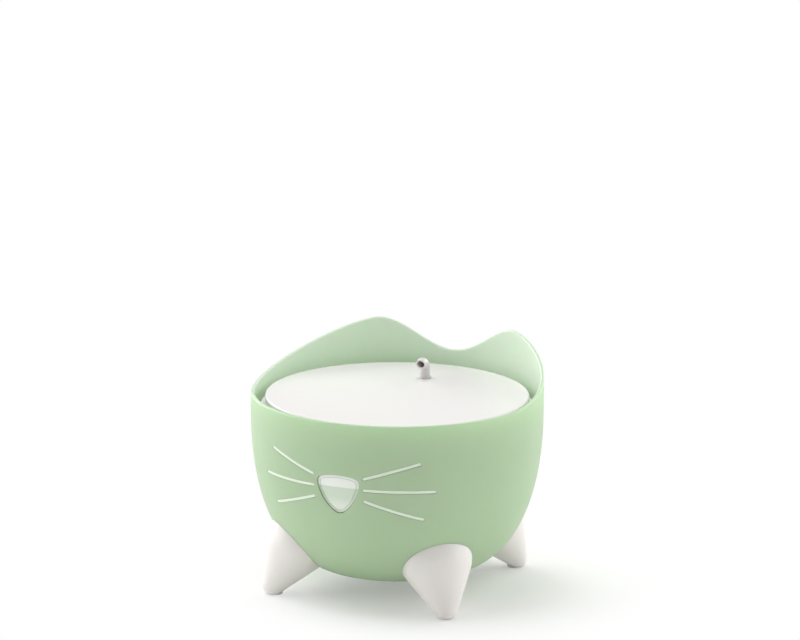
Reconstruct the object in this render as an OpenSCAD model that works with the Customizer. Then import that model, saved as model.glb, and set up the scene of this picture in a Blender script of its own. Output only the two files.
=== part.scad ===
// Pet drinking fountain: a round bowl with two ear-shaped rises in its rim, standing on four feet.
// A small pump lifts water through a hose and a filter tray to a spout in the lid.
// The origin is on the table below the middle of the bowl, +Z is up and the face looks along -Y.

/* [Bowl] */
// Outer radius of the bowl at its straight wall
bowl_r = 102.5; // [98:0.5:108]
// Thickness of the bowl's wall and floor
bowl_wall = 2.6; // [2.2:0.1:3]
// Height of the bowl's underside above the table
bowl_base_z = 14; // [12:0.5:16]
// Height above which the wall is straight
bowl_belly_z = 121; // [117:0.5:123]
// Height of the rim at the front
rim_front_z = 139; // [137:0.5:146]
// Height of the ear tips above the front rim
ear_rise = 29.5; // [20:0.5:36]
// Height of the dip between the ears above the front rim
valley_rise = 7; // [3:0.5:12]
// Angle of each ear tip from the back of the bowl
ear_angle = 32; // [26:1:38]
// Angle from the back at which the rim has come down to its front height
ear_end_angle = 115; // [100:1:125]

/* [Face] */
// Height of the middle of the nose window and whiskers
face_z = 91; // [88:0.5:94]
// Width of the nose window
nose_w = 29; // [25:0.5:32]
// Height of the nose window
nose_h = 28; // [25:0.5:31]
// Width of a whisker slot
whisker_w = 2.2; // [1.8:0.1:3]
// Distance of the whiskers' inner ends from the middle of the face
whisker_in_x = 19; // [18:0.5:22]
// Distance of the upper and lower whiskers' outer ends from the middle of the face
whisker_out_x = 55; // [48:0.5:60]
// Height by which the upper and lower whiskers spread at their outer ends
whisker_spread = 20; // [16:0.5:22]
// Thickness of the flanges that the window and inserts have inside the wall
insert_flange = 1.4; // [1:0.1:2]
// Gap round the window and the inserts in their cut-outs
insert_gap = 0.1; // [0.05:0.05:0.2]

/* [Cable column and ribs] */
// Width of the cable column
column_w = 20; // [19:0.5:24]
// Depth of the cable column, from its front face to the outside of the bowl
column_depth = 18.5; // [17.5:0.5:19.5]
// Thickness of the column's walls
column_wall = 1.6; // [1.2:0.1:2]
// Height of the cable port in the back of the bowl
port_h = 20; // [16:1:24]
// Thickness of the ribs that carry the tray
rib_t = 1.6; // [1.2:0.1:2.5]

/* [Feet] */
// Distance of the middle of each foot's tip inside the bowl's outer radius
foot_tip_inset = 12.5; // [10.5:0.5:16.5]
// Radius of a foot's rounded tip
foot_tip_r = 8.5; // [7.5:0.5:9.5]
// Radius of a foot's broad upper end
foot_top_r = 25.5; // [22:0.5:26.5]
// Distance from the middle of the tip to the middle of the broad end
foot_len = 36; // [33:0.5:39]
// Lean of a foot's axis away from the vertical
foot_tilt = 30; // [27:1:33]
// Radius of the boss that a foot is pushed on to
boss_r = 6; // [5:0.5:7]
// Gap between a boss and its foot
boss_gap = 0.2; // [0.1:0.05:0.3]
// Radius of the soft pad under a foot
pad_r = 4.2; // [3.5:0.1:4.6]
// Height of the pad that stands below the foot
pad_proud = 0.6; // [0.4:0.1:1]

/* [Filter tray] */
// Depth of the tray's rim below the front rim of the bowl
tray_drop = 9.5; // [8:0.5:12]
// Gap between the tray and the wall of the bowl
tray_gap = 4.4; // [3:0.1:5]
// Thickness of the tray's plate and walls
tray_wall = 2; // [1.6:0.1:2.4]
// Height of the tray's skirt
tray_skirt = 6; // [5:0.5:7]
// Radius of the sunken dish
dish_r = 72; // [68:0.5:74]
// Distance of the dish's middle in front of the middle of the tray
dish_forward = 29; // [25:0.5:31]
// Depth of the dish
dish_depth = 8; // [6:0.5:9]
// Depth of the filter pocket below the dish
pocket_depth = 12; // [10:0.5:13]
// Distance from the filter's front edge to the edge of the tray
filter_margin = 12.5; // [12.5:0.5:15.5]
// Radius of the drip opening in the pocket's floor
drip_r = 22; // [16:0.5:26]
// Radius of the finger notch in the pocket's back wall
notch_r = 7.5; // [6:0.5:9]
// Radius of the two lifting holes
lift_hole_r = 9.75; // [8:0.25:11]
// Distance of the lifting holes from the middle of the tray
lift_hole_ring = 69; // [68:0.5:78]
// Angle of each lifting hole from the back of the tray
lift_hole_angle = 54; // [45:1:58]

/* [Filter] */
// Width of the filter
filter_w = 80; // [70:0.5:80]
// Thickness of the filter
filter_t = 7.5; // [6:0.1:9]
// Gap round the filter in its pocket
filter_gap = 1; // [0.6:0.1:1.6]
// Radius of the hole in the middle of the filter
filter_hole_r = 7.5; // [6:0.5:9]

/* [Water connection] */
// Distance of the pump outlet, hose, cap and spout behind the middle
outlet_y = 49; // [47:0.5:50]
// Radius of the connector cap
cap_r = 16.5; // [15:0.5:18]
// Depth of the connector cap's seat below the tray's plate
cap_sink = 6.5; // [5:0.5:7]
// Gap round the connector cap in its seat
cap_gap = 0.4; // [0.3:0.1:0.8]
// Outer radius of the cap's finger strap
strap_r = 11; // [10:0.5:12]
// Thickness of the strap
strap_t = 3.4; // [2.8:0.1:3.8]
// Outer radius of the tray's down pipe and of the pump's outlet
pipe_r = 3.9; // [3.5:0.1:4.2]
// Radius of the water way
bore_r = 2.7; // [2.3:0.1:2.9]
// Length of the down pipe below the tray's seat for the cap
pipe_len = 28; // [25:0.5:29]
// Outer radius of the hose
hose_r = 5.5; // [5:0.1:6]
// Length of the hose
hose_len = 40; // [38:0.5:41]
// Gap between a pipe and what is pushed over or into it
pipe_gap = 0.1; // [0.05:0.05:0.2]

/* [Lid and spout] */
// Step from the edge of the tray in to the edge of the lid
lid_step = 3; // [2:0.5:5]
// Thickness of the lid
lid_t = 2; // [1.6:0.1:2.2]
// Height of the lid with its skirt
lid_h = 7; // [6.8:0.1:8]
// Half of the angle over which the front of the skirt is cut away
lid_notch_angle = 26; // [20:1:34]
// Radius of the spout's plug
plug_r = 4.4; // [4.2:0.1:4.8]
// Length of the spout's plug
plug_len = 9.5; // [8.5:0.5:10]
// Radius of the bend of the spout
bend_r = 5.5; // [5:0.1:7]
// Angle through which the spout turns
bend_angle = 112; // [90:1:130]
// Length of the straight neck between plug and bend
neck_len = 4.8; // [3:0.1:8]

/* [Pump] */
// Length of the pump
pump_l = 43; // [41:0.5:45]
// Depth of the pump
pump_d = 29; // [28:0.5:30]
// Height of the pump's body
pump_h = 26; // [25:0.5:27]
// Height of the pump's underside above the table
pump_z = 28; // [27.5:0.5:29]
// Turn of the pump about the vertical
pump_turn = 45; // [42:1:48]
// Distance of the outlet from the middle of the pump
outlet_offset = 8.5; // [8:0.5:9.5]
// Height of the outlet above the pump's body
outlet_h = 17; // [15:0.5:18]
// Radius of the impeller
impeller_r = 9.2; // [8:0.1:9.4]
// Number of impeller blades
blades = 6; // [4:1:8]
// Radius of the rotor's shaft
shaft_r = 1; // [0.8:0.1:1.2]
// Running gap round the rotor and the shaft
run_gap = 0.05; // [0.03:0.01:0.1]

/* [Cable] */
// Diameter of the cable
cable_d = 3.2; // [2.8:0.1:3.4]
// Turns of the cable in the stored coil
coil_turns = 10.25; // [8.25:1:12.25]
// Spacing of the turns, from middle to middle
coil_pitch = 3.75; // [3.7:0.05:4.2]
// Radius of the innermost turn
coil_in_r = 9.4; // [9:0.1:11]

/* [Hidden] */
$fn = 96;
eps = 0.01;

leaf_green = "#a3c494";
plastic_white = "#f0efed";
clear_white = "#dfe9dc";
carbon_grey = "#9aa19c";
resin_peach = "#e9c9ae";
silicone = "#efe9e6";
steel = "#b9bcc0";
copper = "#b06a3c";
signal_red = "#e0352b";

// ---- levels and radii that follow from the sizes above
bowl_pole_z = bowl_base_z - 3;
belly_h = bowl_belly_z - bowl_pole_z;
tray_top_z = rim_front_z - tray_drop;
tray_seat_z = tray_top_z - tray_wall;
column_y = bowl_r - column_depth;
foot_tip_ring = bowl_r - foot_tip_inset;
tray_r = bowl_r - bowl_wall - tray_gap;
filter_forward = tray_r - filter_margin - filter_w / 2;
skirt_z = tray_top_z - tray_skirt;
dish_floor_z = tray_top_z - dish_depth;
dish_floor_r = dish_r - 2.75 * dish_depth;
dish_limit_r = tray_r - 4.5;
pocket_floor_z = dish_floor_z - pocket_depth;
pocket_w = filter_w + 2 * filter_gap;
pocket_corner_r = 10;
cap_floor_z = tray_top_z - cap_sink;
pipe_end_z = cap_floor_z - pipe_len;
lid_r = tray_r - lid_step;
lid_top_z = tray_top_z + lid_h;
lid_room = 0.2;
cap_h = cap_sink + lid_h - lid_t - lid_room;
pump_x = -outlet_offset * cos(pump_turn);
pump_y = outlet_y - outlet_offset * sin(pump_turn);
outlet_top_z = pump_z + pump_h + outlet_h;
hose_z = outlet_top_z - 11;
cable_r = cable_d / 2;

// ---- bowl
// Radius of a bowl-shaped surface of radius r and pole height p at the height z
function bowl_curve(r, p, z) =
    z >= bowl_belly_z ? r : r * pow(1 - pow((bowl_belly_z - z) / (bowl_belly_z - p), 2), 0.25);

// Outline of the bowl-shaped solid, set in from the outer surface by the distance inset
function bowl_outline(inset, top_z) =
    let (steps = 24, low = bowl_base_z + inset, r = bowl_r - inset, p = bowl_pole_z + inset)
    concat([[0, low]],
        [for (i = [0:steps])
            let (z = low + (bowl_belly_z - low) * pow(i / steps, 2)) [bowl_curve(r, p, z), z]],
        [[r, top_z], [0, top_z]]);

module bowl_solid(inset, top_z) {
    rotate_extrude() polygon(bowl_outline(inset, top_z));
}

// Part of the wall between two distances from the outer surface
module bowl_skin(outer, inner, top_z) {
    difference() {
        bowl_solid(outer, top_z);
        bowl_solid(inner, top_z + 1);
    }
}

// Height of the rim at the angle b from the back
function rim_z(b) =
    b < ear_angle ? rim_front_z + valley_rise
            + (ear_rise - valley_rise) * (1 - cos(180 * b / ear_angle)) / 2
    : b < ear_end_angle ? rim_front_z
            + ear_rise * (1 + cos(180 * pow((b - ear_angle) / (ear_end_angle - ear_angle), 0.7))) / 2
    : rim_front_z;

// Everything above the rim from one angle to another, both counted from the back
module above_rim(from, to) {
    steps = 20;
    top_z = rim_front_z + ear_rise + 20;
    middle = (from + to) / 2;
    edge = [for (i = [0:steps]) let (b = from + (to - from) * i / steps)
        [bowl_r * sin(b - middle), rim_z(abs(b))]];
    rotate([0, 0, -middle]) translate([0, bowl_r + 5, 0]) rotate([90, 0, 0]) linear_extrude(25)
        polygon(concat(edge, [[edge[steps][0], top_z], [edge[0][0], top_z]]));
}

// Everything above the level front of the rim
level_angle = ear_end_angle - 5;
module above_front_rim() {
    translate([-bowl_r - 5, -bowl_r - 5, rim_front_z])
        cube([2 * bowl_r + 10, bowl_r + 5 + bowl_r * cos(level_angle - 0.5), ear_rise + 20]);
}

// Outlines of the face, seen from the front
module nose_outline() {
    corner = 7;
    tip = 5.5;
    translate([0, face_z]) hull() {
        translate([-nose_w / 2 + corner, nose_h / 2 - corner]) circle(corner);
        translate([nose_w / 2 - corner, nose_h / 2 - corner]) circle(corner);
        translate([0, tip - nose_h / 2]) circle(tip);
    }
}

// Straight bar of width w with round ends, from a to b
module bar(a, b, w) {
    d = b - a;
    turn = atan2(d[1], d[0]);
    polygon(concat([for (k = [90:15:270]) a + w / 2 * [cos(turn + k), sin(turn + k)]],
        [for (k = [-90:15:90]) b + w / 2 * [cos(turn + k), sin(turn + k)]]));
}

// The three whiskers of one side: side is -1 for the left and 1 for the right
module whisker_outline(side, w) {
    in_z = face_z + 2.4;
    in_step = 8.2;
    out_z = face_z + 1.6;
    middle_longer = 8;
    for (k = [-1:1]) {
        out_x = whisker_out_x + (k == 0 ? middle_longer : 0);
        bar([side * whisker_in_x, in_z + in_step * k], [side * out_x, out_z + whisker_spread * k], w);
    }
}

// Cuts an outline that is drawn on the front through the wall
module from_front(depth) {
    rotate([90, 0, 0]) translate([0, 0, bowl_r - depth]) linear_extrude(depth + 1) children();
}
face_depth = 45;

module cable_column() {
    hollow_w = column_w - 2 * column_wall;
    hollow_y = column_y + column_wall;
    difference() {
        intersection() {
            translate([-column_w / 2, column_y, 0]) cube([column_w, bowl_r - column_y, tray_seat_z]);
            bowl_solid(bowl_wall / 2, tray_seat_z);
        }
        intersection() {
            translate([-hollow_w / 2, hollow_y, 0]) cube([hollow_w, bowl_r, tray_seat_z + 1]);
            bowl_solid(bowl_wall, tray_seat_z + 1);
        }
    }
}

// Way for the cable over the column's front wall
module cable_notch() {
    notch_w = cable_d + 1.8;
    translate([-notch_w / 2, column_y - 1, cable_top_z - cable_r - 1.2])
        cube([notch_w, column_wall + 2, 20]);
}

// Opening through the back of the bowl into the foot of the column
module cable_port() {
    port_w = column_w - 2 * column_wall - 1;
    corner = 3;
    translate([0, column_y + column_wall, port_z]) rotate([-90, 0, 0]) linear_extrude(bowl_r)
        translate([-port_w / 2, -port_h / 2]) rounded_square([port_w, port_h], corner);
}

module rounded_square(size, r) {
    translate([r, 0]) square([size[0] - 2 * r, size[1]]);
    translate([0, r]) square([size[0], size[1] - 2 * r]);
    for (x = [r, size[0] - r], y = [r, size[1] - r])
        translate([x, y]) circle(r);
}

// Upright rib on the wall that carries the tray's skirt
module tray_rib(angle) {
    depth = 7.5;
    rib_h = 55;
    rotate([0, 0, angle]) intersection() {
        translate([-rib_t / 2, 0, 0]) rotate([90, 0, 90]) linear_extrude(rib_t)
            polygon([[bowl_r, skirt_z - rib_h], [bowl_r, skirt_z], [tray_r - depth + 3, skirt_z],
                [tray_r - depth + 3, skirt_z - 3], [bowl_r - bowl_wall, skirt_z - rib_h]]);
        bowl_solid(bowl_wall / 2, skirt_z);
    }
}
rib_angles = [57, -57, 130, -130];

// Two low rails on the floor of the bowl that the pump stands on
module pump_rails() {
    rail_t = 3;
    intersection() {
        at_pump() for (x = [-pump_l / 2 + 5, pump_l / 2 - 8])
            translate([x, -pump_d / 2 + 2, -pump_z]) cube([rail_t, pump_d - 4, pump_z]);
        bowl_solid(bowl_wall / 2, pump_z);
    }
}

module bowl() {
    color(leaf_green) difference() {
        union() {
            bowl_skin(0, bowl_wall, rim_front_z + ear_rise + 1);
            cable_column();
            for (a = rib_angles) tray_rib(a);
            pump_rails();
            for (a = foot_angles) foot_boss(a);
        }
        above_rim(-28.5, 28.5);
        for (side = [0, 1]) mirror([side, 0, 0]) {
            above_rim(28, 72.5);
            above_rim(72, level_angle);
        }
        above_front_rim();
        from_front(face_depth) nose_outline();
        for (side = [-1, 1]) from_front(face_depth) whisker_outline(side, whisker_w);
        cable_notch();
        cable_port();
    }
}

module nose_window() {
    recess = 0.8;
    flange_reach = 2.4;
    color(clear_white) {
        intersection() {
            bowl_skin(recess, bowl_wall + eps, rim_front_z);
            from_front(face_depth) offset(delta = -insert_gap) nose_outline();
        }
        intersection() {
            bowl_skin(bowl_wall, bowl_wall + insert_flange, rim_front_z);
            from_front(face_depth) offset(r = flange_reach) nose_outline();
        }
    }
}

// Pale moulding that fills the three slots of one side from inside
module whisker_insert(side) {
    recess = 0.4;
    rail_x = side * (whisker_in_x + 9);
    color(clear_white) {
        intersection() {
            bowl_skin(recess, bowl_wall + eps, rim_front_z);
            from_front(face_depth) whisker_outline(side, whisker_w - 2 * insert_gap);
        }
        intersection() {
            bowl_skin(bowl_wall, bowl_wall + insert_flange, rim_front_z);
            from_front(face_depth) union() {
                whisker_outline(side, whisker_w + 3);
                bar([rail_x, face_z + 14], [rail_x, face_z - 10], 5);
            }
        }
    }
}
module whisker_insert_left() { whisker_insert(-1); }
module whisker_insert_right() { whisker_insert(1); }

// ---- feet
foot_angles = [-45, 45, 135, -135];
foot_slope = asin((foot_top_r - foot_tip_r) / foot_len);
socket_low = 13.5;
pad_t = 2.2;

// Puts what follows on the axis of the foot at the angle a from the face
module on_foot_axis(a) {
    rotate([0, 0, a]) translate([0, -foot_tip_ring, foot_tip_z]) rotate([-foot_tilt, 0, 0]) children();
}
foot_tip_z = foot_tip_r - 1.6;

// Half outline of a foot along its axis: round tip, straight flank, round broad end
function foot_outline() =
    let (steps = 8, turn = 90 + foot_slope)
    concat([for (i = [0:steps]) let (a = -90 + (turn - 2 * foot_slope) * i / steps)
            [foot_tip_r * cos(a), foot_tip_r * sin(a)]],
        [for (i = [0:steps * 2]) let (a = -foot_slope + turn * i / (steps * 2))
            [foot_top_r * cos(a), foot_len + foot_top_r * sin(a)]]);

module foot_boss(a) {
    difference() {
        on_foot_axis(a) translate([0, 0, socket_low + 0.5]) cylinder(r = boss_r, h = foot_len);
        bowl_solid(bowl_wall / 2, rim_front_z);
    }
}

module foot(a) {
    color(plastic_white) difference() {
        on_foot_axis(a) rotate_extrude() polygon(foot_outline());
        bowl_solid(0, rim_front_z);
        on_foot_axis(a) translate([0, 0, socket_low]) cylinder(r = boss_r + boss_gap, h = foot_len);
        translate([0, 0, pad_proud - foot_len])
            cube([3 * bowl_r, 3 * bowl_r, 2 * foot_len], center = true);
        rotate([0, 0, a]) translate([0, -foot_tip_ring, 0]) cylinder(r = pad_r + 0.1, h = pad_t);
    }
}
module foot_front_left() { foot(foot_angles[0]); }
module foot_front_right() { foot(foot_angles[1]); }
module foot_rear_right() { foot(foot_angles[2]); }
module foot_rear_left() { foot(foot_angles[3]); }

module foot_pads() {
    color(silicone) for (a = foot_angles)
        rotate([0, 0, a]) translate([0, -foot_tip_ring, 0]) cylinder(r = pad_r, h = pad_t);
}

// ---- filter tray
module disc_at(y, r, z, h) {
    translate([0, y, z]) cylinder(r = r, h = h);
}

// Plan of the filter and of its pocket, w wide
module filter_plan(w, r) {
    translate([-w / 2, -filter_forward - w / 2]) rounded_square([w, w], r);
}

// Sunken dish as a solid, grown by the thickness t of its wall
module dish_solid(t) {
    intersection() {
        translate([0, -dish_forward, dish_floor_z - t])
            cylinder(r1 = dish_floor_r + t, r2 = dish_r + t, h = dish_depth + t);
        disc_at(0, dish_limit_r + t, 0, 400);
    }
}

// Filter pocket with its finger notch as a solid, grown by the thickness t of its walls
module pocket_solid(t, h) {
    notch_y = -filter_forward + pocket_w / 2;
    translate([0, 0, pocket_floor_z - t]) linear_extrude(h)
        filter_plan(pocket_w + 2 * t, pocket_corner_r + t);
    disc_at(notch_y, notch_r + t, pocket_floor_z - t, h);
}

// Everything of the dish that is open, up to above the tray; the cap's seat stands in its edge
module dish_opening() {
    difference() {
        union() {
            dish_solid(0);
            translate([0, 0, tray_top_z - eps]) linear_extrude(5) intersection() {
                translate([0, -dish_forward]) circle(dish_r);
                circle(dish_limit_r);
            }
        }
        disc_at(outlet_y, cap_r + cap_gap + tray_wall, cap_floor_z - tray_wall, 40);
    }
}

module tray_skirt_ring() {
    difference() {
        disc_at(0, tray_r, skirt_z, tray_skirt);
        disc_at(0, tray_r - tray_wall, skirt_z - 1, tray_skirt + 2);
    }
}

module filter_tray() {
    deep = tray_top_z - pocket_floor_z;
    column_gap = 0.8;
    color(plastic_white) difference() {
        union() {
            disc_at(0, tray_r, tray_seat_z, tray_wall);
            tray_skirt_ring();
            dish_solid(tray_wall);
            pocket_solid(tray_wall, deep - 1);
            disc_at(outlet_y, cap_r + cap_gap + tray_wall, cap_floor_z - tray_wall, cap_sink + tray_wall);
            disc_at(outlet_y, pipe_r, pipe_end_z, pipe_len);
        }
        dish_opening();
        pocket_solid(0, deep + 1);
        disc_at(-filter_forward, drip_r, pocket_floor_z - 5, 10);
        disc_at(outlet_y, cap_r + cap_gap, cap_floor_z, cap_sink + 1);
        disc_at(outlet_y, bore_r, pipe_end_z - 1, pipe_len + 10);
        for (a = [-1, 1] * lift_hole_angle) rotate([0, 0, a])
            disc_at(lift_hole_ring, lift_hole_r, tray_seat_z - 5, 20);
        translate([-column_w / 2 - column_gap, column_y - column_gap, skirt_z - 1])
            cube([column_w + 2 * column_gap, 30, tray_seat_z - skirt_z + 1]);
    }
}

// ---- connector cap and its strap
module connector_cap() {
    slot_w = 15;
    slot_h = 3.6;
    edge = 1.5;
    color(plastic_white) difference() {
        translate([0, outlet_y, cap_floor_z]) rotate_extrude()
            polygon([[0, 0], [cap_r, 0], [cap_r, cap_h - edge], [cap_r - edge, cap_h], [0, cap_h]]);
        disc_at(outlet_y, plug_r + pipe_gap, cap_floor_z + cap_h - socket_depth, socket_depth + 1);
        disc_at(outlet_y, bore_r, cap_floor_z - 1, cap_h + 2);
        translate([-slot_w / 2, outlet_y - cap_r - 1, tray_top_z + 0.3]) cube([slot_w, 4.5, slot_h]);
        at_pivot() translate([pivot_x, 0, 0]) rotate([0, 90, 0]) cylinder(r = pivot_r + pipe_gap, h = cap_r);
    }
}
socket_depth = 5.8;

// Pin joint between the cap and its strap: the pin lies along X
pivot_r = 1.2;
pivot_x = cap_r - 3;
pivot_z = tray_top_z + 2.3;
strap_turn = -4;
module at_pivot() {
    translate([0, outlet_y, pivot_z]) rotate([0, 0, strap_turn]) children();
}

// Open ring of round strap, lying flat over the tray beside the cap when the lid is on
module cap_strap() {
    ring_r = strap_r - strap_t / 2;
    ring_x = cap_r + strap_r + 0.3;
    ring_y = 3.5;
    start_angle = 190;
    end_angle = 478;
    band_x = ring_x - sqrt(ring_r * ring_r - ring_y * ring_y);
    color(plastic_white) at_pivot() {
        translate([ring_x, ring_y, 0]) {
            rotate([0, 0, start_angle]) rotate_extrude(angle = end_angle - start_angle)
                translate([ring_r, 0]) circle(strap_t / 2, $fn = 32);
            rotate([0, 0, end_angle]) translate([ring_r, 0, 0]) rotate([-90, 0, 0]) strap_tip();
        }
        translate([pivot_x + 0.1, 0, 0]) rotate([0, 90, 0]) cylinder(r = pivot_r, h = band_x - pivot_x);
    }
}

// Ribbed end of the strap
module strap_tip() {
    rib = 0.4;
    rotate_extrude() polygon(concat([[0, -0.2], [strap_t / 2 - 0.1, -0.2]],
        [for (k = [0:2]) each [[strap_t / 2 - 0.1, 1.2 * k + 0.4], [strap_t / 2 + rib, 1.2 * k + 0.7],
            [strap_t / 2 + rib, 1.2 * k + 1.2], [strap_t / 2 - 0.1, 1.2 * k + 1.5]]], [[0, 4.4]]));
}

// ---- filter
module filter_quarter_plan(sx, sy, w) {
    seam = 1.6;
    margin = 2.2;
    side = w / 2 - margin - seam / 2;
    translate([0, -filter_forward]) difference() {
        translate([sx > 0 ? seam / 2 : -side - seam / 2, sy > 0 ? seam / 2 : -side - seam / 2])
            rounded_square([side, side], 6);
        circle(filter_hole_r + 2);
    }
}

module filter_fleece() {
    color(carbon_grey) translate([0, 0, filter_z + filter_t - fleece_t]) linear_extrude(fleece_t)
        difference() {
            filter_plan(filter_w, 9);
            translate([0, -filter_forward]) circle(filter_hole_r);
        }
}
fleece_t = 1;
filter_z = pocket_floor_z + 0.3;

module filter_pad(sx, sy, tint) {
    color(tint) translate([0, 0, filter_z]) linear_extrude(filter_t - fleece_t)
        filter_quarter_plan(sx, sy, filter_w);
}
module filter_pad_front_left() { filter_pad(-1, -1, carbon_grey); }
module filter_pad_rear_left() { filter_pad(-1, 1, carbon_grey); }
module filter_pad_front_right() { filter_pad(1, -1, resin_peach); }
module filter_pad_rear_right() { filter_pad(1, 1, resin_peach); }

// ---- lid and spout
module lid() {
    hole_gap = 0.2;
    color(plastic_white) difference() {
        disc_at(0, lid_r, tray_top_z, lid_h);
        disc_at(0, lid_r - lid_t, tray_top_z - 1, lid_h - lid_t + 1);
        disc_at(outlet_y, plug_r + hole_gap, tray_top_z, lid_h + 1);
        translate([0, 0, tray_top_z - 1]) linear_extrude(lid_h - lid_t + 1) polygon([[0, 0],
            [-2 * lid_r * sin(lid_notch_angle), -2 * lid_r * cos(lid_notch_angle)],
            [2 * lid_r * sin(lid_notch_angle), -2 * lid_r * cos(lid_notch_angle)]]);
    }
}

module spout() {
    tube_r = plug_r - 0.6;
    plug_z = cap_floor_z + cap_h - socket_depth;
    bend_z = plug_len + neck_len;
    color(plastic_white) translate([0, outlet_y, plug_z]) difference() {
        union() {
            cylinder(r = plug_r, h = plug_len);
            cylinder(r = tube_r, h = bend_z);
            translate([0, -bend_r, bend_z]) rotate([90, 0, 90])
                rotate_extrude(angle = bend_angle) translate([bend_r, 0]) circle(tube_r);
        }
        translate([0, 0, -1]) cylinder(r = bore_r, h = bend_z + 1 + eps);
        translate([0, -bend_r, bend_z]) rotate([90, 0, 90])
            rotate_extrude(angle = bend_angle + 5) translate([bend_r, 0]) circle(bore_r);
    }
}

// ---- hose
module hose() {
    color(silicone) difference() {
        disc_at(outlet_y, hose_r, hose_z, hose_len);
        disc_at(outlet_y, pipe_r + pipe_gap, hose_z - 1, hose_len + 2);
    }
}

// ---- pump, drawn with its long side along X, its cable at -X and its middle at the origin
axis_z = pump_h / 2;
cover_t = 3;
cover_x = pump_l / 2 - cover_t;
base_t = 1.8;
chamber_r = impeller_r + 1;
chamber_x = outlet_offset - 5;
inner_wall = 2;
yoke_x = inner_wall + 3 - pump_l / 2;
yoke_t = 3.5;
core_h = 11;
well_r = 5.6;
well_x = yoke_x + yoke_t + 4;
well_wall = 1.2;
magnet_x = well_x + 2.7;

module at_pump() {
    translate([pump_x, pump_y, pump_z]) rotate([0, 0, pump_turn]) children();
}

module along_x(r, x0, x1) {
    translate([x0, 0, axis_z]) rotate([0, 90, 0]) cylinder(r = r, h = x1 - x0);
}

module slab_x(x0, x1, z0, z1) {
    translate([x0, -50, z0]) cube([x1 - x0, 100, z1 - z0]);
}

module pump_block() {
    edge = 2.2;
    hull() for (x = [-1, 1], y = [-1, 1], z = [0, 1])
        translate([x * (pump_l / 2 - edge), y * (pump_d / 2 - edge), z ? pump_h - edge : edge])
            sphere(edge, $fn = 24);
}

module pump_housing() {
    pocket_x = -pump_l / 2 + inner_wall;
    pocket_end_x = chamber_x - inner_wall;
    color(plastic_white) at_pump() difference() {
        union() {
            intersection() {
                pump_block();
                slab_x(-pump_l, cover_x, base_t, pump_h + 1);
            }
            translate([outlet_offset, 0, pump_h - 2]) cylinder(r = pipe_r, h = outlet_h + 2);
        }
        difference() {
            translate([pocket_x, -pump_d / 2 + inner_wall, 0])
                cube([pocket_end_x - pocket_x, pump_d - 2 * inner_wall, pump_h - inner_wall]);
            along_x(well_r + well_wall, well_x - well_wall, chamber_x);
        }
        along_x(well_r, well_x, chamber_x + 1);
        along_x(chamber_r, chamber_x, pump_l);
        translate([outlet_offset, 0, axis_z]) cylinder(r = bore_r, h = pump_h + outlet_h);
        translate([-pump_l / 2 - 1, 0, gland_z]) rotate([0, 90, 0])
            cylinder(r = cable_r + 0.1, h = inner_wall + 2);
        translate([-pump_l / 2 - 1, 0, lamp_z]) rotate([0, 90, 0]) cylinder(r = lamp_r, h = inner_wall);
    }
}
gland_z = pump_h * 0.6;
lamp_z = 5.4;
lamp_r = 1.5;

module pump_base_plate() {
    color(plastic_white) at_pump() intersection() {
        pump_block();
        slab_x(-pump_l, cover_x, 0, base_t);
    }
}

module inlet_cover() {
    spigot_x = cover_x - 4;
    slots = 5;
    slot_pitch = 3.6;
    slot_w = 4.6;
    slot_h = 1.8;
    color(plastic_white) at_pump() difference() {
        union() {
            intersection() {
                pump_block();
                slab_x(cover_x, pump_l, 0, pump_h + 1);
            }
            difference() {
                along_x(chamber_r - 0.1, spigot_x, cover_x + 1);
                along_x(chamber_r - 1.2, spigot_x - 1, cover_x);
            }
            along_x(4.4, spigot_x, cover_x + 1);
        }
        along_x(bush_r + 0.05, spigot_x - 1, cover_x);
        for (k = [0:slots - 1], side = [-1, 1])
            translate([spigot_x - 1, side * 1.5 * slot_w, axis_z + (k - (slots - 1) / 2) * slot_pitch])
                translate([0, -slot_w / 2, -slot_h / 2]) cube([cover_t + 10, slot_w, slot_h]);
    }
}
bush_r = 3;
bush_l = 2.4;

module stator_core() {
    arm_y = well_r + well_wall + 0.4;
    arm_t = pump_d / 2 - inner_wall - 1.3 - arm_y;
    core_l = chamber_x - inner_wall - 1 - yoke_x;
    color(steel) at_pump() translate([0, 0, axis_z - core_h / 2]) linear_extrude(core_h) difference() {
        translate([yoke_x, -arm_y - arm_t]) square([core_l, 2 * (arm_y + arm_t)]);
        translate([yoke_x + yoke_t, -arm_y]) square([pump_l, 2 * arm_y]);
    }
}

module stator_winding() {
    core_gap = 0.1;
    wound_w = yoke_t + 4.5;
    wound_h = core_h + 6.6;
    color(copper) at_pump() translate([yoke_x + yoke_t / 2, 0, axis_z]) rotate([90, 0, 0])
        linear_extrude(13, center = true) difference() {
            translate([-wound_w / 2, -wound_h / 2]) rounded_square([wound_w, wound_h], 2.4);
            square([yoke_t + 2 * core_gap, core_h + 2 * core_gap], center = true);
        }
}

module rotor_magnet() {
    color("#4a4a4e") at_pump() difference() {
        along_x(4.7, magnet_x, chamber_x - 0.4);
        along_x(shaft_r + run_gap, magnet_x - 1, chamber_x + 1);
    }
}

module impeller() {
    hub_r = 3.4;
    blade_t = 1;
    x0 = chamber_x;
    x1 = cover_x - 4 - 0.8;
    color(plastic_white) at_pump() difference() {
        union() {
            along_x(hub_r, x0 - 0.4, x1);
            for (k = [0:blades - 1]) translate([x0 + 1, 0, axis_z]) rotate([360 * k / blades, 0, 0])
                translate([0, -blade_t / 2, 0]) cube([x1 - x0 - 1.5, blade_t, impeller_r]);
        }
        along_x(shaft_r + run_gap, x0 - 2, x1 + 1);
    }
}

module rotor_shaft() {
    color(steel) at_pump() along_x(shaft_r, well_x + 0.5, cover_x - 0.5);
}

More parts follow.
